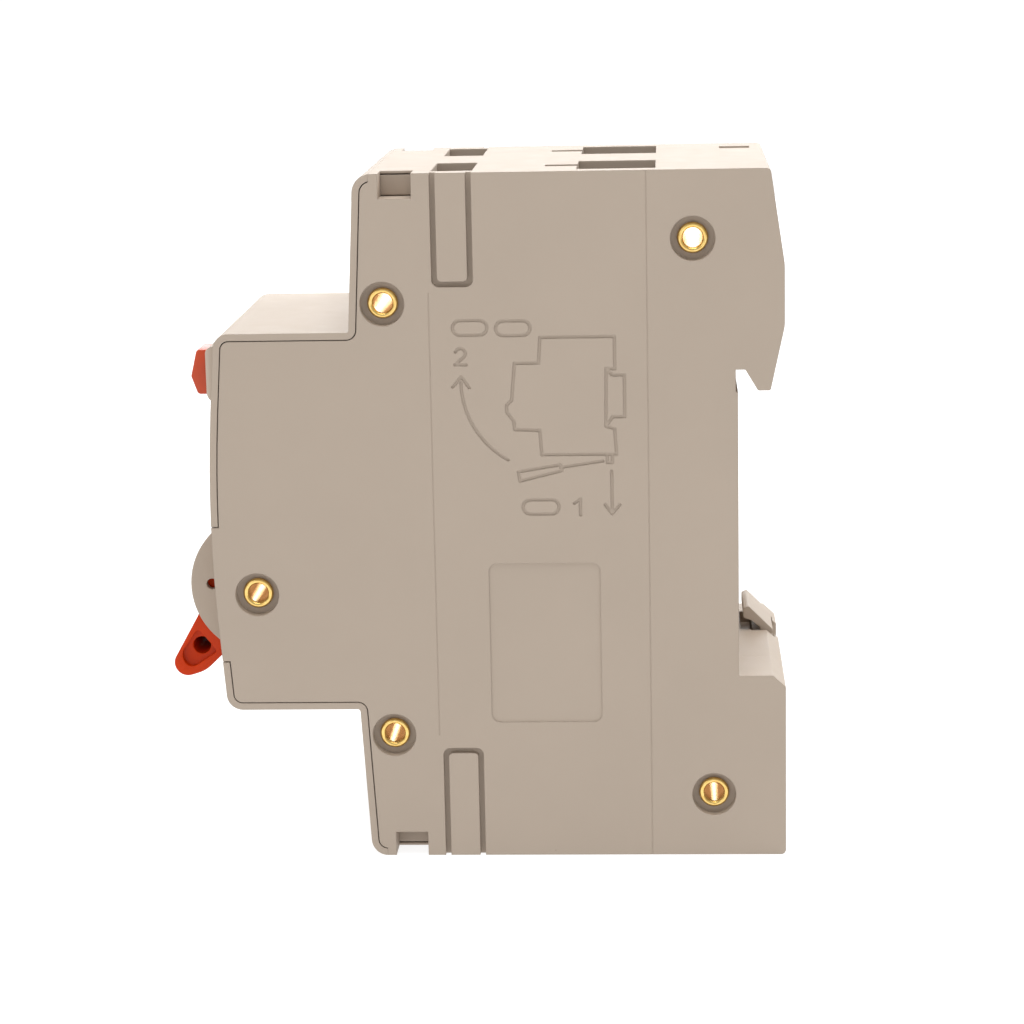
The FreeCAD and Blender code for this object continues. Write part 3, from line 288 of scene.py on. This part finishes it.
def varied_roughness(tree, shader, value, low, high):
    """Roughness between two values, following a pattern."""
    spread = tree.nodes.new("ShaderNodeMapRange")
    spread.inputs["To Min"].default_value = low
    spread.inputs["To Max"].default_value = high
    tree.links.new(value, spread.inputs["Value"])
    tree.links.new(spread.outputs["Result"], shader.inputs["Roughness"])


# %% [markdown]
# ## Moulded plastics
#
# The case is a filled thermoset in a warm grey. It comes out of a spark-eroded mould,
# so its skin is evenly matt, with a grain of about a quarter of a millimetre and a
# barely seen cloudiness. Here and there a dark speck of filler shows. The toggle is a
# glossier thermoplastic in signal orange. The test button gets a paler, pinker copy of
# that orange, which is painted light: it stands for the brighter light on the button.
# The hidden mouldings are black, and the splitter plates are held by cards of pressed
# fibre.

# %% Mix the plastics
CASE_GREY = (0.427, 0.353, 0.287)
TOGGLE_ORANGE = (0.54, 0.038, 0.002)
# a paler, pinker copy of the toggle's orange for the test button: painted light, for the brighter light on
# the button
KEY_ORANGE_PAINTED_PALER = (0.52, 0.060, 0.014)
SPECK_PITCH = 9 * mm
SPECK_INNER, SPECK_OUTER = 0.010, 0.016     # in parts of the pitch
SPECK_SHADE = 0.62
GLOW_DEPTHS = (0.0012, 0.0004, 0.0002)      # how far red, green and blue light run inside the orange


def moulded_case_plastic():
    material, tree, shader = new_finish("moulded_case_plastic", 0.55, specular=0.4)
    clouds = noise(tree, 14 * mm, 3.0)
    colour = ramp(tree, clouds, [(0.3, tinted(CASE_GREY, 0.985)), (0.7, tinted(CASE_GREY, 1.015))])
    place = tree.nodes.new("ShaderNodeTexCoord")
    speckle = tree.nodes.new("ShaderNodeTexVoronoi")
    speckle.inputs["Scale"].default_value = 1 / SPECK_PITCH
    tree.links.new(place.outputs["Object"], speckle.inputs["Vector"])
    spots = tree.nodes.new("ShaderNodeMapRange")
    spots.inputs["From Min"].default_value = SPECK_OUTER
    spots.inputs["From Max"].default_value = SPECK_INNER
    tree.links.new(speckle.outputs["Distance"], spots.inputs["Value"])
    colour = mixed(tree, spots.outputs["Result"], colour, tinted(CASE_GREY, SPECK_SHADE))
    normal, edges = soft_edges(tree, 0.22 * mm)
    # painted highlight: the grey is lifted along the edges, for the light that rounded arrises catch
    colour = mixed(tree, edges, colour, tinted(CASE_GREY, 1.10))
    tree.links.new(colour, shader.inputs["Base Color"])
    varied_roughness(tree, shader, noise(tree, 2.5 * mm), 0.48, 0.62)
    grain(tree, shader, noise(tree, 0.28 * mm, 3.0), 0.010 * mm, normal)
    return material


def satin_orange_plastic(name, orange, specular):
    material, tree, shader = new_finish(name, 0.34, specular=specular)
    shader.inputs["Subsurface Weight"].default_value = 0.03
    shader.inputs["Subsurface Radius"].default_value = GLOW_DEPTHS
    clouds = noise(tree, 3 * mm, 2.0)
    colour = ramp(tree, clouds, [(0.3, tinted(orange, 0.95)), (0.7, tinted(orange, 1.05))])
    normal, edges = soft_edges(tree, 0.18 * mm)
    # painted highlight: the orange is lifted along the edges, for the light that rounded arrises catch
    colour = mixed(tree, edges, colour, tinted(orange, 1.22))
    tree.links.new(colour, shader.inputs["Base Color"])
    varied_roughness(tree, shader, noise(tree, 1.2 * mm), 0.29, 0.40)
    grain(tree, shader, noise(tree, 0.35 * mm), 0.004 * mm, normal)
    return material


def black_moulding():
    material, tree, shader = new_finish("black_moulding", 0.45)
    colour = ramp(tree, noise(tree, 4 * mm), [(0.3, (0.012, 0.012, 0.013)), (0.7, (0.020, 0.020, 0.021))])
    tree.links.new(colour, shader.inputs["Base Color"])
    normal, _ = soft_edges(tree, 0.15 * mm)
    grain(tree, shader, noise(tree, 0.3 * mm), 0.008 * mm, normal)
    return material


def pressed_fibre_card():
    material, tree, shader = new_finish("pressed_fibre_card", 0.8, specular=0.25)
    strands = noise(tree, 1.2 * mm, 4.0, stretch=(1, 1, 0.15))
    colour = ramp(tree, strands, [(0.3, (0.20, 0.105, 0.055)), (0.7, (0.33, 0.19, 0.11))])
    tree.links.new(colour, shader.inputs["Base Color"])
    grain(tree, shader, strands, 0.03 * mm)
    return material


finishes = {
    "case_plastic": moulded_case_plastic(),
    "orange_plastic": satin_orange_plastic("toggle_orange", TOGGLE_ORANGE, 0.15),
    "dark_plastic": black_moulding(),
    "fibre": pressed_fibre_card(),
}
# the test button's paler copy of the orange is painted light, for the brighter light on the button
key_orange_painted_paler = satin_orange_plastic("key_orange_painted_paler", KEY_ORANGE_PAINTED_PALER, 0.4)
print("plastics:", sorted(finishes))

# %% [markdown]
# ## Metals
#
# The rivets are drawn brass tube, bright and a little streaky along the tube. The
# clamps, screws, shafts and splitter plates are zinc-plated steel, which has a grey,
# slightly mottled shine. Springs are darker wire. The current path is bare copper
# with silver contact tips. One recipe covers them all: a metallic shader, a stretched
# noise for the drawing or rolling marks, and a roughness that follows it.

# The rivets' bores are long and narrow. Light runs down them in many bounces, more than
# the renderer follows, so their walls get a faint warm glow that stands for it.

# %% Mix the metals


def metal(name, dark, light, shine, streak, depth):
    """A metal between two tints. shine is (low, high) roughness, streak how far marks run along X."""
    material, tree, shader = new_finish(name, shine[0], metallic=1.0)
    marks = noise(tree, 0.5 * mm, 4.0, stretch=(1 / streak, 1, 1))
    colour = ramp(tree, marks, [(0.25, dark), (0.75, light)])
    normal, edges = soft_edges(tree, 0.12 * mm)
    # painted highlight: the metal is lifted along the edges, for the light that rounded arrises catch
    colour = mixed(tree, edges, colour, tinted(light, 1.15))
    tree.links.new(colour, shader.inputs["Base Color"])
    varied_roughness(tree, shader, marks, *shine)
    grain(tree, shader, marks, depth, normal)
    return material


METALS = {
    # slot: (name, dark tint, light tint, (low, high) roughness, streak, relief)
    "brass": ("drawn_brass", (0.78, 0.50, 0.14), (0.90, 0.66, 0.25), (0.10, 0.20), 6.0, 0.001 * mm),
    "steel": ("zinc_steel", (0.48, 0.49, 0.51), (0.64, 0.65, 0.66), (0.28, 0.42), 1.5, 0.004 * mm),
    "spring_steel": ("spring_wire", (0.30, 0.30, 0.31), (0.46, 0.46, 0.47), (0.25, 0.35), 3.0, 0.002 * mm),
    "copper": ("bare_copper", (0.66, 0.30, 0.17), (0.84, 0.44, 0.28), (0.25, 0.40), 4.0, 0.004 * mm),
    "silver": ("silver_contact", (0.70, 0.69, 0.67), (0.88, 0.87, 0.85), (0.20, 0.34), 1.0, 0.004 * mm),
    "enamel": ("enamelled_wire", (0.42, 0.14, 0.04), (0.58, 0.22, 0.07), (0.16, 0.26), 2.0, 0.002 * mm),
}
for slot_name, recipe in METALS.items():
    finishes[slot_name] = metal(*recipe)


def warm_bores(material, start, end, colour, strength):
    """A little glow inside the tubes, which stands for light that bounces along them many times."""
    tree = material.node_tree
    shader = tree.nodes["Principled BSDF"]
    place = tree.nodes.new("ShaderNodeTexCoord")
    split = tree.nodes.new("ShaderNodeSeparateXYZ")
    tree.links.new(place.outputs["Object"], split.inputs["Vector"])
    depth = tree.nodes.new("ShaderNodeMath")
    depth.operation = "ABSOLUTE"
    tree.links.new(split.outputs["X"], depth.inputs[0])
    glow = tree.nodes.new("ShaderNodeMapRange")
    glow.inputs["From Min"].default_value = start
    glow.inputs["From Max"].default_value = end
    glow.inputs["To Max"].default_value = strength
    tree.links.new(depth.outputs["Value"], glow.inputs["Value"])
    shader.inputs["Emission Color"].default_value = (*colour, 1)
    tree.links.new(glow.outputs["Result"], shader.inputs["Emission Strength"])


BORE_GLOW = (1.0, 0.55, 0.25)
BORE_GLOW_STRENGTH = 0.14
warm_bores(finishes["brass"], 16.4 * mm, 15.0 * mm, BORE_GLOW, BORE_GLOW_STRENGTH)
print("finishes so far:", len(finishes))

# %% [markdown]
# ## Wires, core and board
#
# The last finishes are for the electrical pieces: vinyl-covered wire, a transformer
# core wound from thin metal tape, and a green glass-epoxy board. The tape and the
# board's glass cloth both get their pattern from a Wave texture. It suits them,
# because both are made of even, parallel lines.

# %% Mix the electrical finishes
WAVE_SCALE = 0.314           # the Wave texture's scale that gives one band in each metre


def bands(tree, pitch, direction, distortion=0.3):
    """Even parallel lines, pitch metres apart."""
    place = tree.nodes.new("ShaderNodeTexCoord")
    wave = tree.nodes.new("ShaderNodeTexWave")
    wave.bands_direction = direction
    wave.inputs["Scale"].default_value = WAVE_SCALE / pitch
    wave.inputs["Distortion"].default_value = distortion
    tree.links.new(place.outputs["Object"], wave.inputs["Vector"])
    return wave.outputs["Fac"]


def insulated_wire(name, colour):
    material, tree, shader = new_finish(name, 0.4)
    shades = ramp(tree, noise(tree, 2 * mm), [(0.3, tinted(colour, 0.9)), (0.7, tinted(colour, 1.1))])
    tree.links.new(shades, shader.inputs["Base Color"])
    grain(tree, shader, noise(tree, 0.4 * mm), 0.006 * mm)
    return material


def wound_core_tape():
    material, tree, shader = new_finish("wound_core_tape", 0.35, metallic=0.9)
    layers = bands(tree, 0.12 * mm, "DIAGONAL")
    colour = ramp(tree, layers, [(0.2, (0.10, 0.10, 0.11)), (0.8, (0.22, 0.22, 0.23))])
    tree.links.new(colour, shader.inputs["Base Color"])
    grain(tree, shader, layers, 0.01 * mm)
    return material


def glass_epoxy_board():
    material, tree, shader = new_finish("glass_epoxy_board", 0.3)
    weave = bands(tree, 0.4 * mm, "Z", 0.0)
    colour = ramp(tree, weave, [(0.3, (0.010, 0.075, 0.025)), (0.7, (0.016, 0.110, 0.038))])
    tree.links.new(colour, shader.inputs["Base Color"])
    grain(tree, shader, weave, 0.01 * mm)
    return material


finishes["wire_blue"] = insulated_wire("blue_vinyl", (0.02, 0.06, 0.30))
finishes["wire_brown"] = insulated_wire("brown_vinyl", (0.10, 0.035, 0.012))
finishes["ferrite"] = wound_core_tape()
finishes["board"] = glass_epoxy_board()
print("finishes in all:", len(finishes))

# %% [markdown]
# ## Dress the engineering pieces
#
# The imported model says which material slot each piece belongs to. Most pieces already
# have the right shape, so they keep it and only change their finish. That is quick,
# and it can't put a piece in the wrong place.

# %% Give every piece its finish
slot_of = {part["node"]: part["material_slot"] for part in record["subparts"]}
for node_name, piece in nodes.items():
    piece.data.materials.clear()
    piece.data.materials.append(finishes[slot_of[node_name]])
print("pieces dressed:", len(nodes))

# %% [markdown]
# ## Mouldings with broken edges
#
# A mould can't make a knife edge, and the toggle and the button are touched every time
# they are used, so their corners are plainly round. Painting the edge soft isn't
# enough here, because the outline itself should be round. A copy of the CAD solid is
# welded into one skin, its flat faces are joined up, and a Bevel modifier then rounds
# every corner sharper than the limit. The copy stands for the original piece.

# %% Round the toggle and the test button
WELD = 0.002 * mm
FLAT_ANGLE = math.radians(0.6)
CORNER_ANGLE = math.radians(32)
SMOOTH_ANGLE = math.radians(40)
ROUNDING_STEPS = 3
TOGGLE_ROUNDING = 0.30 * mm
KEY_ROUNDING = 0.22 * mm


def skin_of(node_name, piece_name):
    """A welded copy of a CAD piece, as a new object with its flat faces joined."""
    mesh = nodes[node_name].data.copy()
    mesh.name = piece_name
    skin = bmesh.new()
    skin.from_mesh(mesh)
    bmesh.ops.remove_doubles(skin, verts=skin.verts, dist=WELD)
    bmesh.ops.dissolve_limit(skin, angle_limit=FLAT_ANGLE, verts=skin.verts, edges=skin.edges)
    skin.to_mesh(mesh)
    skin.free()
    piece = bpy.data.objects.new(piece_name, mesh)
    bpy.context.scene.collection.objects.link(piece)
    return piece


def rounded(piece, radius):
    """The piece with its corners rounded, as a plain mesh."""
    bevel = piece.modifiers.new("broken_edges", "BEVEL")
    bevel.width = radius
    bevel.segments = ROUNDING_STEPS
    bevel.limit_method = "ANGLE"
    bevel.angle_limit = CORNER_ANGLE
    seen = piece.evaluated_get(bpy.context.evaluated_depsgraph_get())
    mesh = bpy.data.meshes.new_from_object(seen)
    piece.modifiers.remove(bevel)
    piece.data = mesh
    mesh.shade_smooth()
    mesh.set_sharp_from_angle(angle=SMOOTH_ANGLE)
    return piece


def fit_out(piece, body, slot, *replaced):
    """Rides a new piece on its body, gives it its finish, and hides the CAD pieces it stands for."""
    piece.data.materials.clear()
    piece.data.materials.append(finishes[slot])
    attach(piece, body)
    if replaced:
        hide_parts(*replaced)
    return piece


toggle_handle = rounded(skin_of("toggle_lever", "toggle_handle"), TOGGLE_ROUNDING)
fit_out(toggle_handle, "toggle", "orange_plastic", "toggle_lever")
test_key_cap = rounded(skin_of("test_button", "test_key_cap"), KEY_ROUNDING)
fit_out(test_key_cap, "test_key", "orange_plastic", "test_button")
# the paler orange on the key cap is painted light, for the brighter light on the button
test_key_cap.data.materials[0] = key_orange_painted_paler
print("corners on the toggle:", len(toggle_handle.data.vertices))

# %% [markdown]
# ## Growing repeated pieces with Geometry Nodes
#
# Rivets, springs, threads and windings all repeat a small shape along a path or at a
# few places. Copying them by hand is slow and hard to change. A node tree grows them
# from a few named sizes, and the same tree serves every copy.
#
# The helper below sets a tree's sizes, lets it grow on a few points, and keeps the
# result as a plain mesh. The tree's inputs are set by their identifiers before the
# first evaluation, and each tree ends by making its instances real.

# %% Helpers for growing pieces


def new_tree(name, sizes):
    """A Geometry Nodes tree with named number inputs, with its input node and its output node."""
    tree = bpy.data.node_groups.new(name, "GeometryNodeTree")
    tree.interface.new_socket("Geometry", in_out="INPUT", socket_type="NodeSocketGeometry")
    for label, default in sizes.items():
        socket = tree.interface.new_socket(label, in_out="INPUT", socket_type="NodeSocketFloat")
        socket.default_value = default
    tree.interface.new_socket("Geometry", in_out="OUTPUT", socket_type="NodeSocketGeometry")
    return tree, tree.nodes.new("NodeGroupInput"), tree.nodes.new("NodeGroupOutput")


def arithmetic(tree, operation, first, second):
    """A Math node on two sockets or numbers."""
    node = tree.nodes.new("ShaderNodeMath")
    node.operation = operation
    for slot_number, value in enumerate((first, second)):
        if isinstance(value, (int, float)):
            node.inputs[slot_number].default_value = value
        else:
            tree.links.new(value, node.inputs[slot_number])
    return node.outputs[0]


def swept(tree, path, profile, capped=False):
    """A profile curve swept along a path curve."""
    sweep = tree.nodes.new("GeometryNodeCurveToMesh")
    sweep.inputs["Fill Caps"].default_value = capped
    tree.links.new(path, sweep.inputs["Curve"])
    tree.links.new(profile, sweep.inputs["Profile Curve"])
    return sweep.outputs["Mesh"]


def ring(tree, radius, resolution):
    """A circle curve in the XY plane."""
    circle = tree.nodes.new("GeometryNodeCurvePrimitiveCircle")
    circle.inputs["Resolution"].default_value = resolution
    if isinstance(radius, (int, float)):
        circle.inputs["Radius"].default_value = radius
    else:
        tree.links.new(radius, circle.inputs["Radius"])
    return circle.outputs["Curve"]


def moved(tree, geometry, offset=None, turn=(0, 0, 0)):
    """Geometry shifted by a vector socket and turned by fixed angles."""
    shift = tree.nodes.new("GeometryNodeTransform")
    tree.links.new(geometry, shift.inputs["Geometry"])
    if offset:
        tree.links.new(offset, shift.inputs["Translation"])
    shift.inputs["Rotation"].default_value = turn
    return shift.outputs["Geometry"]


def vector(tree, x=0.0, y=0.0, z=0.0):
    """A vector from three sockets or numbers."""
    node = tree.nodes.new("ShaderNodeCombineXYZ")
    for slot_number, value in enumerate((x, y, z)):
        if isinstance(value, (int, float)):
            node.inputs[slot_number].default_value = value
        else:
            tree.links.new(value, node.inputs[slot_number])
    return node.outputs[0]


# %% Helpers that plant a shape and grow it


def planted(tree, inputs, outputs, shape, material, rotation=None):
    """Puts the shape on every point of the base mesh, makes it real and gives it its finish."""
    plant = tree.nodes.new("GeometryNodeInstanceOnPoints")
    tree.links.new(inputs.outputs["Geometry"], plant.inputs["Points"])
    tree.links.new(shape, plant.inputs["Instance"])
    if rotation:
        tree.links.new(rotation, plant.inputs["Rotation"])
    real = tree.nodes.new("GeometryNodeRealizeInstances")
    tree.links.new(plant.outputs["Instances"], real.inputs["Geometry"])
    finish = tree.nodes.new("GeometryNodeSetMaterial")
    finish.inputs["Material"].default_value = material
    tree.links.new(real.outputs["Geometry"], finish.inputs["Geometry"])
    tree.links.new(finish.outputs["Geometry"], outputs.inputs["Geometry"])
    return tree


def grown(name, tree, points, sizes):
    """Grows the tree on the points and returns the result as a plain, closed, outward-facing mesh."""
    base = bpy.data.meshes.new(name)
    base.from_pydata([tuple(point) for point in points], [], [])
    piece = bpy.data.objects.new(name, base)
    bpy.context.scene.collection.objects.link(piece)
    modifier = piece.modifiers.new("grow", "NODES")
    modifier.node_group = tree
    for item in tree.interface.items_tree:
        if item.in_out == "INPUT" and item.name in sizes:
            modifier[item.identifier] = float(sizes[item.name])
    seen = piece.evaluated_get(bpy.context.evaluated_depsgraph_get())
    mesh = bpy.data.meshes.new_from_object(seen)
    piece.modifiers.remove(modifier)
    skin = bmesh.new()
    skin.from_mesh(mesh)
    bmesh.ops.remove_doubles(skin, verts=skin.verts, dist=WELD)
    bmesh.ops.recalc_face_normals(skin, faces=skin.faces)
    skin.to_mesh(mesh)
    skin.free()
    mesh.shade_smooth()
    mesh.set_sharp_from_angle(angle=SMOOTH_ANGLE)
    piece.data = mesh
    print(f"{name}: {len(mesh.polygons)} faces")
    return piece


# %% [markdown]
# ## Tubular rivets
#
# Five brass tubes run right through the case, and their ends are rolled outwards into
# smooth rims. A revolved outline would do for one rivet. The tree here sweeps the
# tube's wall and the two rolled rims round a circle, and plants the result at all five
# holes. Their places and bores come from the record's mounts.

# %% Measure the rivets
rivet_mounts = [mount for mount in record["mounts"] if mount["name"].startswith("rivet_bore")]
rivet_places = [mount["pos_m"] for mount in rivet_mounts]
rivet_bore = rivet_mounts[0]["dims"]["r_mm"] * mm
rivets_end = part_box("case_rivets")[1]
roll_radius = (rivets_end.z - max(place[2] for place in rivet_places) - rivet_bore) / 2
rivet_sizes = {
    "Bore Radius": rivet_bore,
    "Wall": 0.40 * mm,
    "Half Length": rivets_end.x - roll_radius,
    "Roll Radius": roll_radius,
}
print("rolled rim in mm:", round(2 * roll_radius / mm, 2))

# %% Grow the rivets
RIVET_SIDES = 56
ROLL_SIDES = 18
QUARTER_TURN = math.radians(90)


def rivet_tree(sizes):
    tree, inputs, outputs = new_tree("tubular_rivet", sizes)
    bore, wall = inputs.outputs["Bore Radius"], inputs.outputs["Wall"]
    half, roll = inputs.outputs["Half Length"], inputs.outputs["Roll Radius"]
    band = tree.nodes.new("GeometryNodeCurvePrimitiveQuadrilateral")
    tree.links.new(wall, band.inputs["Width"])
    tree.links.new(arithmetic(tree, "MULTIPLY", half, 2.0), band.inputs["Height"])
    middle = arithmetic(tree, "MULTIPLY_ADD", wall, 0.5)
    tree.links.new(bore, middle.node.inputs[2])
    tube = swept(tree, ring(tree, middle, RIVET_SIDES), band.outputs["Curve"])
    rim_radius = arithmetic(tree, "ADD", bore, roll)
    rim = swept(tree, ring(tree, rim_radius, RIVET_SIDES), ring(tree, roll, ROLL_SIDES))
    whole = tree.nodes.new("GeometryNodeJoinGeometry")
    tree.links.new(tube, whole.inputs["Geometry"])
    tree.links.new(moved(tree, rim, vector(tree, z=half)), whole.inputs["Geometry"])
    below = arithmetic(tree, "MULTIPLY", half, -1.0)
    tree.links.new(moved(tree, rim, vector(tree, z=below)), whole.inputs["Geometry"])
    lying = moved(tree, whole.outputs["Geometry"], turn=(0, QUARTER_TURN, 0))
    return planted(tree, inputs, outputs, lying, finishes["brass"])


rolled_rivets = grown("rolled_rivets", rivet_tree(rivet_sizes), rivet_places, rivet_sizes)
fit_out(rolled_rivets, "case", "brass", "case_rivets")

# %% [markdown]
# ## Springs and screw threads
#
# A coil spring and a screw thread are the same idea: a small round section swept along
# a helix. One tree makes both. The test button and the rail clip each squeeze their
# spring. The spring of the toggle sits round its sleeve. Each terminal screw gets the
# crests of its thread as a piece that turns with it.

# %% Grow the springs
COIL_STEPS = 28
WIRE_SIDES = 8
SPRING_TURNS = {0: (0, QUARTER_TURN, 0), 1: (-QUARTER_TURN, 0, 0), 2: (0, 0, 0)}     # by axis


def helix_tree(name, sizes, material, turn):
    tree, inputs, outputs = new_tree(name, sizes)
    spiral = tree.nodes.new("GeometryNodeCurveSpiral")
    spiral.inputs["Resolution"].default_value = COIL_STEPS
    tree.links.new(inputs.outputs["Coil Radius"], spiral.inputs["Start Radius"])
    tree.links.new(inputs.outputs["Coil Radius"], spiral.inputs["End Radius"])
    tree.links.new(inputs.outputs["Length"], spiral.inputs["Height"])
    tree.links.new(inputs.outputs["Turns"], spiral.inputs["Rotations"])
    section = ring(tree, inputs.outputs["Wire Radius"], WIRE_SIDES)
    wire = swept(tree, spiral.outputs["Curve"], section, capped=True)
    return planted(tree, inputs, outputs, moved(tree, wire, turn=turn), material)


def middle_of(node_name):
    low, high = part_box(node_name)
    return (low + high) / 2


def coil_sizes(node_name, axis, wire_radius, turns):
    """Sizes of a spring that fills its CAD piece's box."""
    low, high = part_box(node_name)
    across = (axis + 1) % 3
    return {
        "Coil Radius": (high[across] - low[across]) / 2 - wire_radius,
        "Wire Radius": wire_radius,
        "Length": high[axis] - low[axis] - 2.5 * wire_radius,
        "Turns": turns,
    }


def spring(name, node_name, axis, wire_radius, turns):
    """A coil spring along an axis, in the place of its CAD piece."""
    sizes = coil_sizes(node_name, axis, wire_radius, turns)
    start = middle_of(node_name)
    start[axis] = start[axis] - sizes["Length"] / 2
    tree = helix_tree(name + "_helix", sizes, finishes["spring_steel"], SPRING_TURNS[axis])
    return fit_out(grown(name, tree, [start], sizes), "case", "spring_steel", node_name)


key_spring = spring("key_return_spring", "test_button_spring", 1, 0.25 * mm, 5.5)
clip_coil = spring("clip_return_spring", "clip_spring", 2, 0.20 * mm, 8.0)
spring("toggle_return_spring", "toggle_spring", 0, 0.32 * mm, 3.0)

# %% Give two springs meshes of their own
for coil_piece, node_name, joint_name, axis, end in (
    (key_spring, "test_button_spring", "test_button_slide", (0, 1, 0), 1),
    (clip_coil, "clip_spring", "rail_clip_slide", (0, 0, 1), 0),
):
    low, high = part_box(node_name)
    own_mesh(coil_piece)

# %% Cut the screw threads
THREAD_START = 0.3 * mm
thread_sizes = {"Coil Radius": 2.36 * mm, "Wire Radius": 0.13 * mm, "Length": 7.2 * mm, "Turns": 9.0}
thread_crest = helix_tree("thread_crest", thread_sizes, finishes["steel"], (QUARTER_TURN, 0, 0))
for level in ("upper", "lower"):
    for pole in ("1", "2"):
        screw = f"{level}_terminal_screw_{pole}"
        shank_tip = middle_of(screw)
        shank_tip.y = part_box(screw)[1].y - THREAD_START
        crest = grown(f"{level}_screw_thread_{pole}", thread_crest, [shank_tip], thread_sizes)
        fit_out(crest, f"screw_{level}_{pole}", "steel")

# %% [markdown]
# ## The transformer's winding
#
# Thirty-six turns of enamelled wire are threaded round the core of the summation
# transformer. Each turn is a rounded rectangle. The tree makes one turn, and an index
# times ten degrees turns each copy round the core's axis.

# %% Wind the transformer
WINDING_TURNS = 36
WINDING_DEPTH = 4.0 * mm
ENAMEL_WIRE_RADIUS = 0.26 * mm
CORNER_STEPS = 5
CORNER_IN_WIRES = 2.2


def winding_tree(sizes):
    tree, inputs, outputs = new_tree("transformer_winding", sizes)
    wire = inputs.outputs["Wire Radius"]
    loop = tree.nodes.new("GeometryNodeCurvePrimitiveQuadrilateral")
    tree.links.new(inputs.outputs["Depth"], loop.inputs["Width"])
    tree.links.new(inputs.outputs["Length"], loop.inputs["Height"])
    corner = tree.nodes.new("GeometryNodeFilletCurve")
    corner.mode = "POLY"
    corner.inputs["Count"].default_value = CORNER_STEPS
    tree.links.new(loop.outputs["Curve"], corner.inputs["Curve"])
    tree.links.new(arithmetic(tree, "MULTIPLY", wire, CORNER_IN_WIRES), corner.inputs["Radius"])
    turn_of_wire = swept(tree, corner.outputs["Curve"], ring(tree, wire, WIRE_SIDES))
    standing = moved(tree, turn_of_wire, turn=(QUARTER_TURN, 0, 0))
    placed = moved(tree, standing, vector(tree, x=inputs.outputs["Middle Radius"]))
    index = tree.nodes.new("GeometryNodeInputIndex")
    angle = arithmetic(tree, "MULTIPLY", index.outputs[0], 2 * math.pi / WINDING_TURNS)
    return planted(tree, inputs, outputs, placed, finishes["enamel"], vector(tree, z=angle))


low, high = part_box("toroid_winding")
winding_sizes = {
    "Depth": WINDING_DEPTH - 2 * ENAMEL_WIRE_RADIUS,
    "Length": high.x - low.x - 2 * ENAMEL_WIRE_RADIUS,
    "Middle Radius": (high.z - low.z - WINDING_DEPTH) / 2,
    "Wire Radius": ENAMEL_WIRE_RADIUS,
}
turn_points = [(0, 0, 0)] * WINDING_TURNS
winding = grown("wound_turns", winding_tree(winding_sizes), turn_points, winding_sizes)
winding.data.transform(Matrix.Rotation(QUARTER_TURN, 4, "Y"))
winding.data.transform(Matrix.Translation(middle_of("toroid_winding")))
fit_out(winding, "case", "enamel", "toroid_winding")
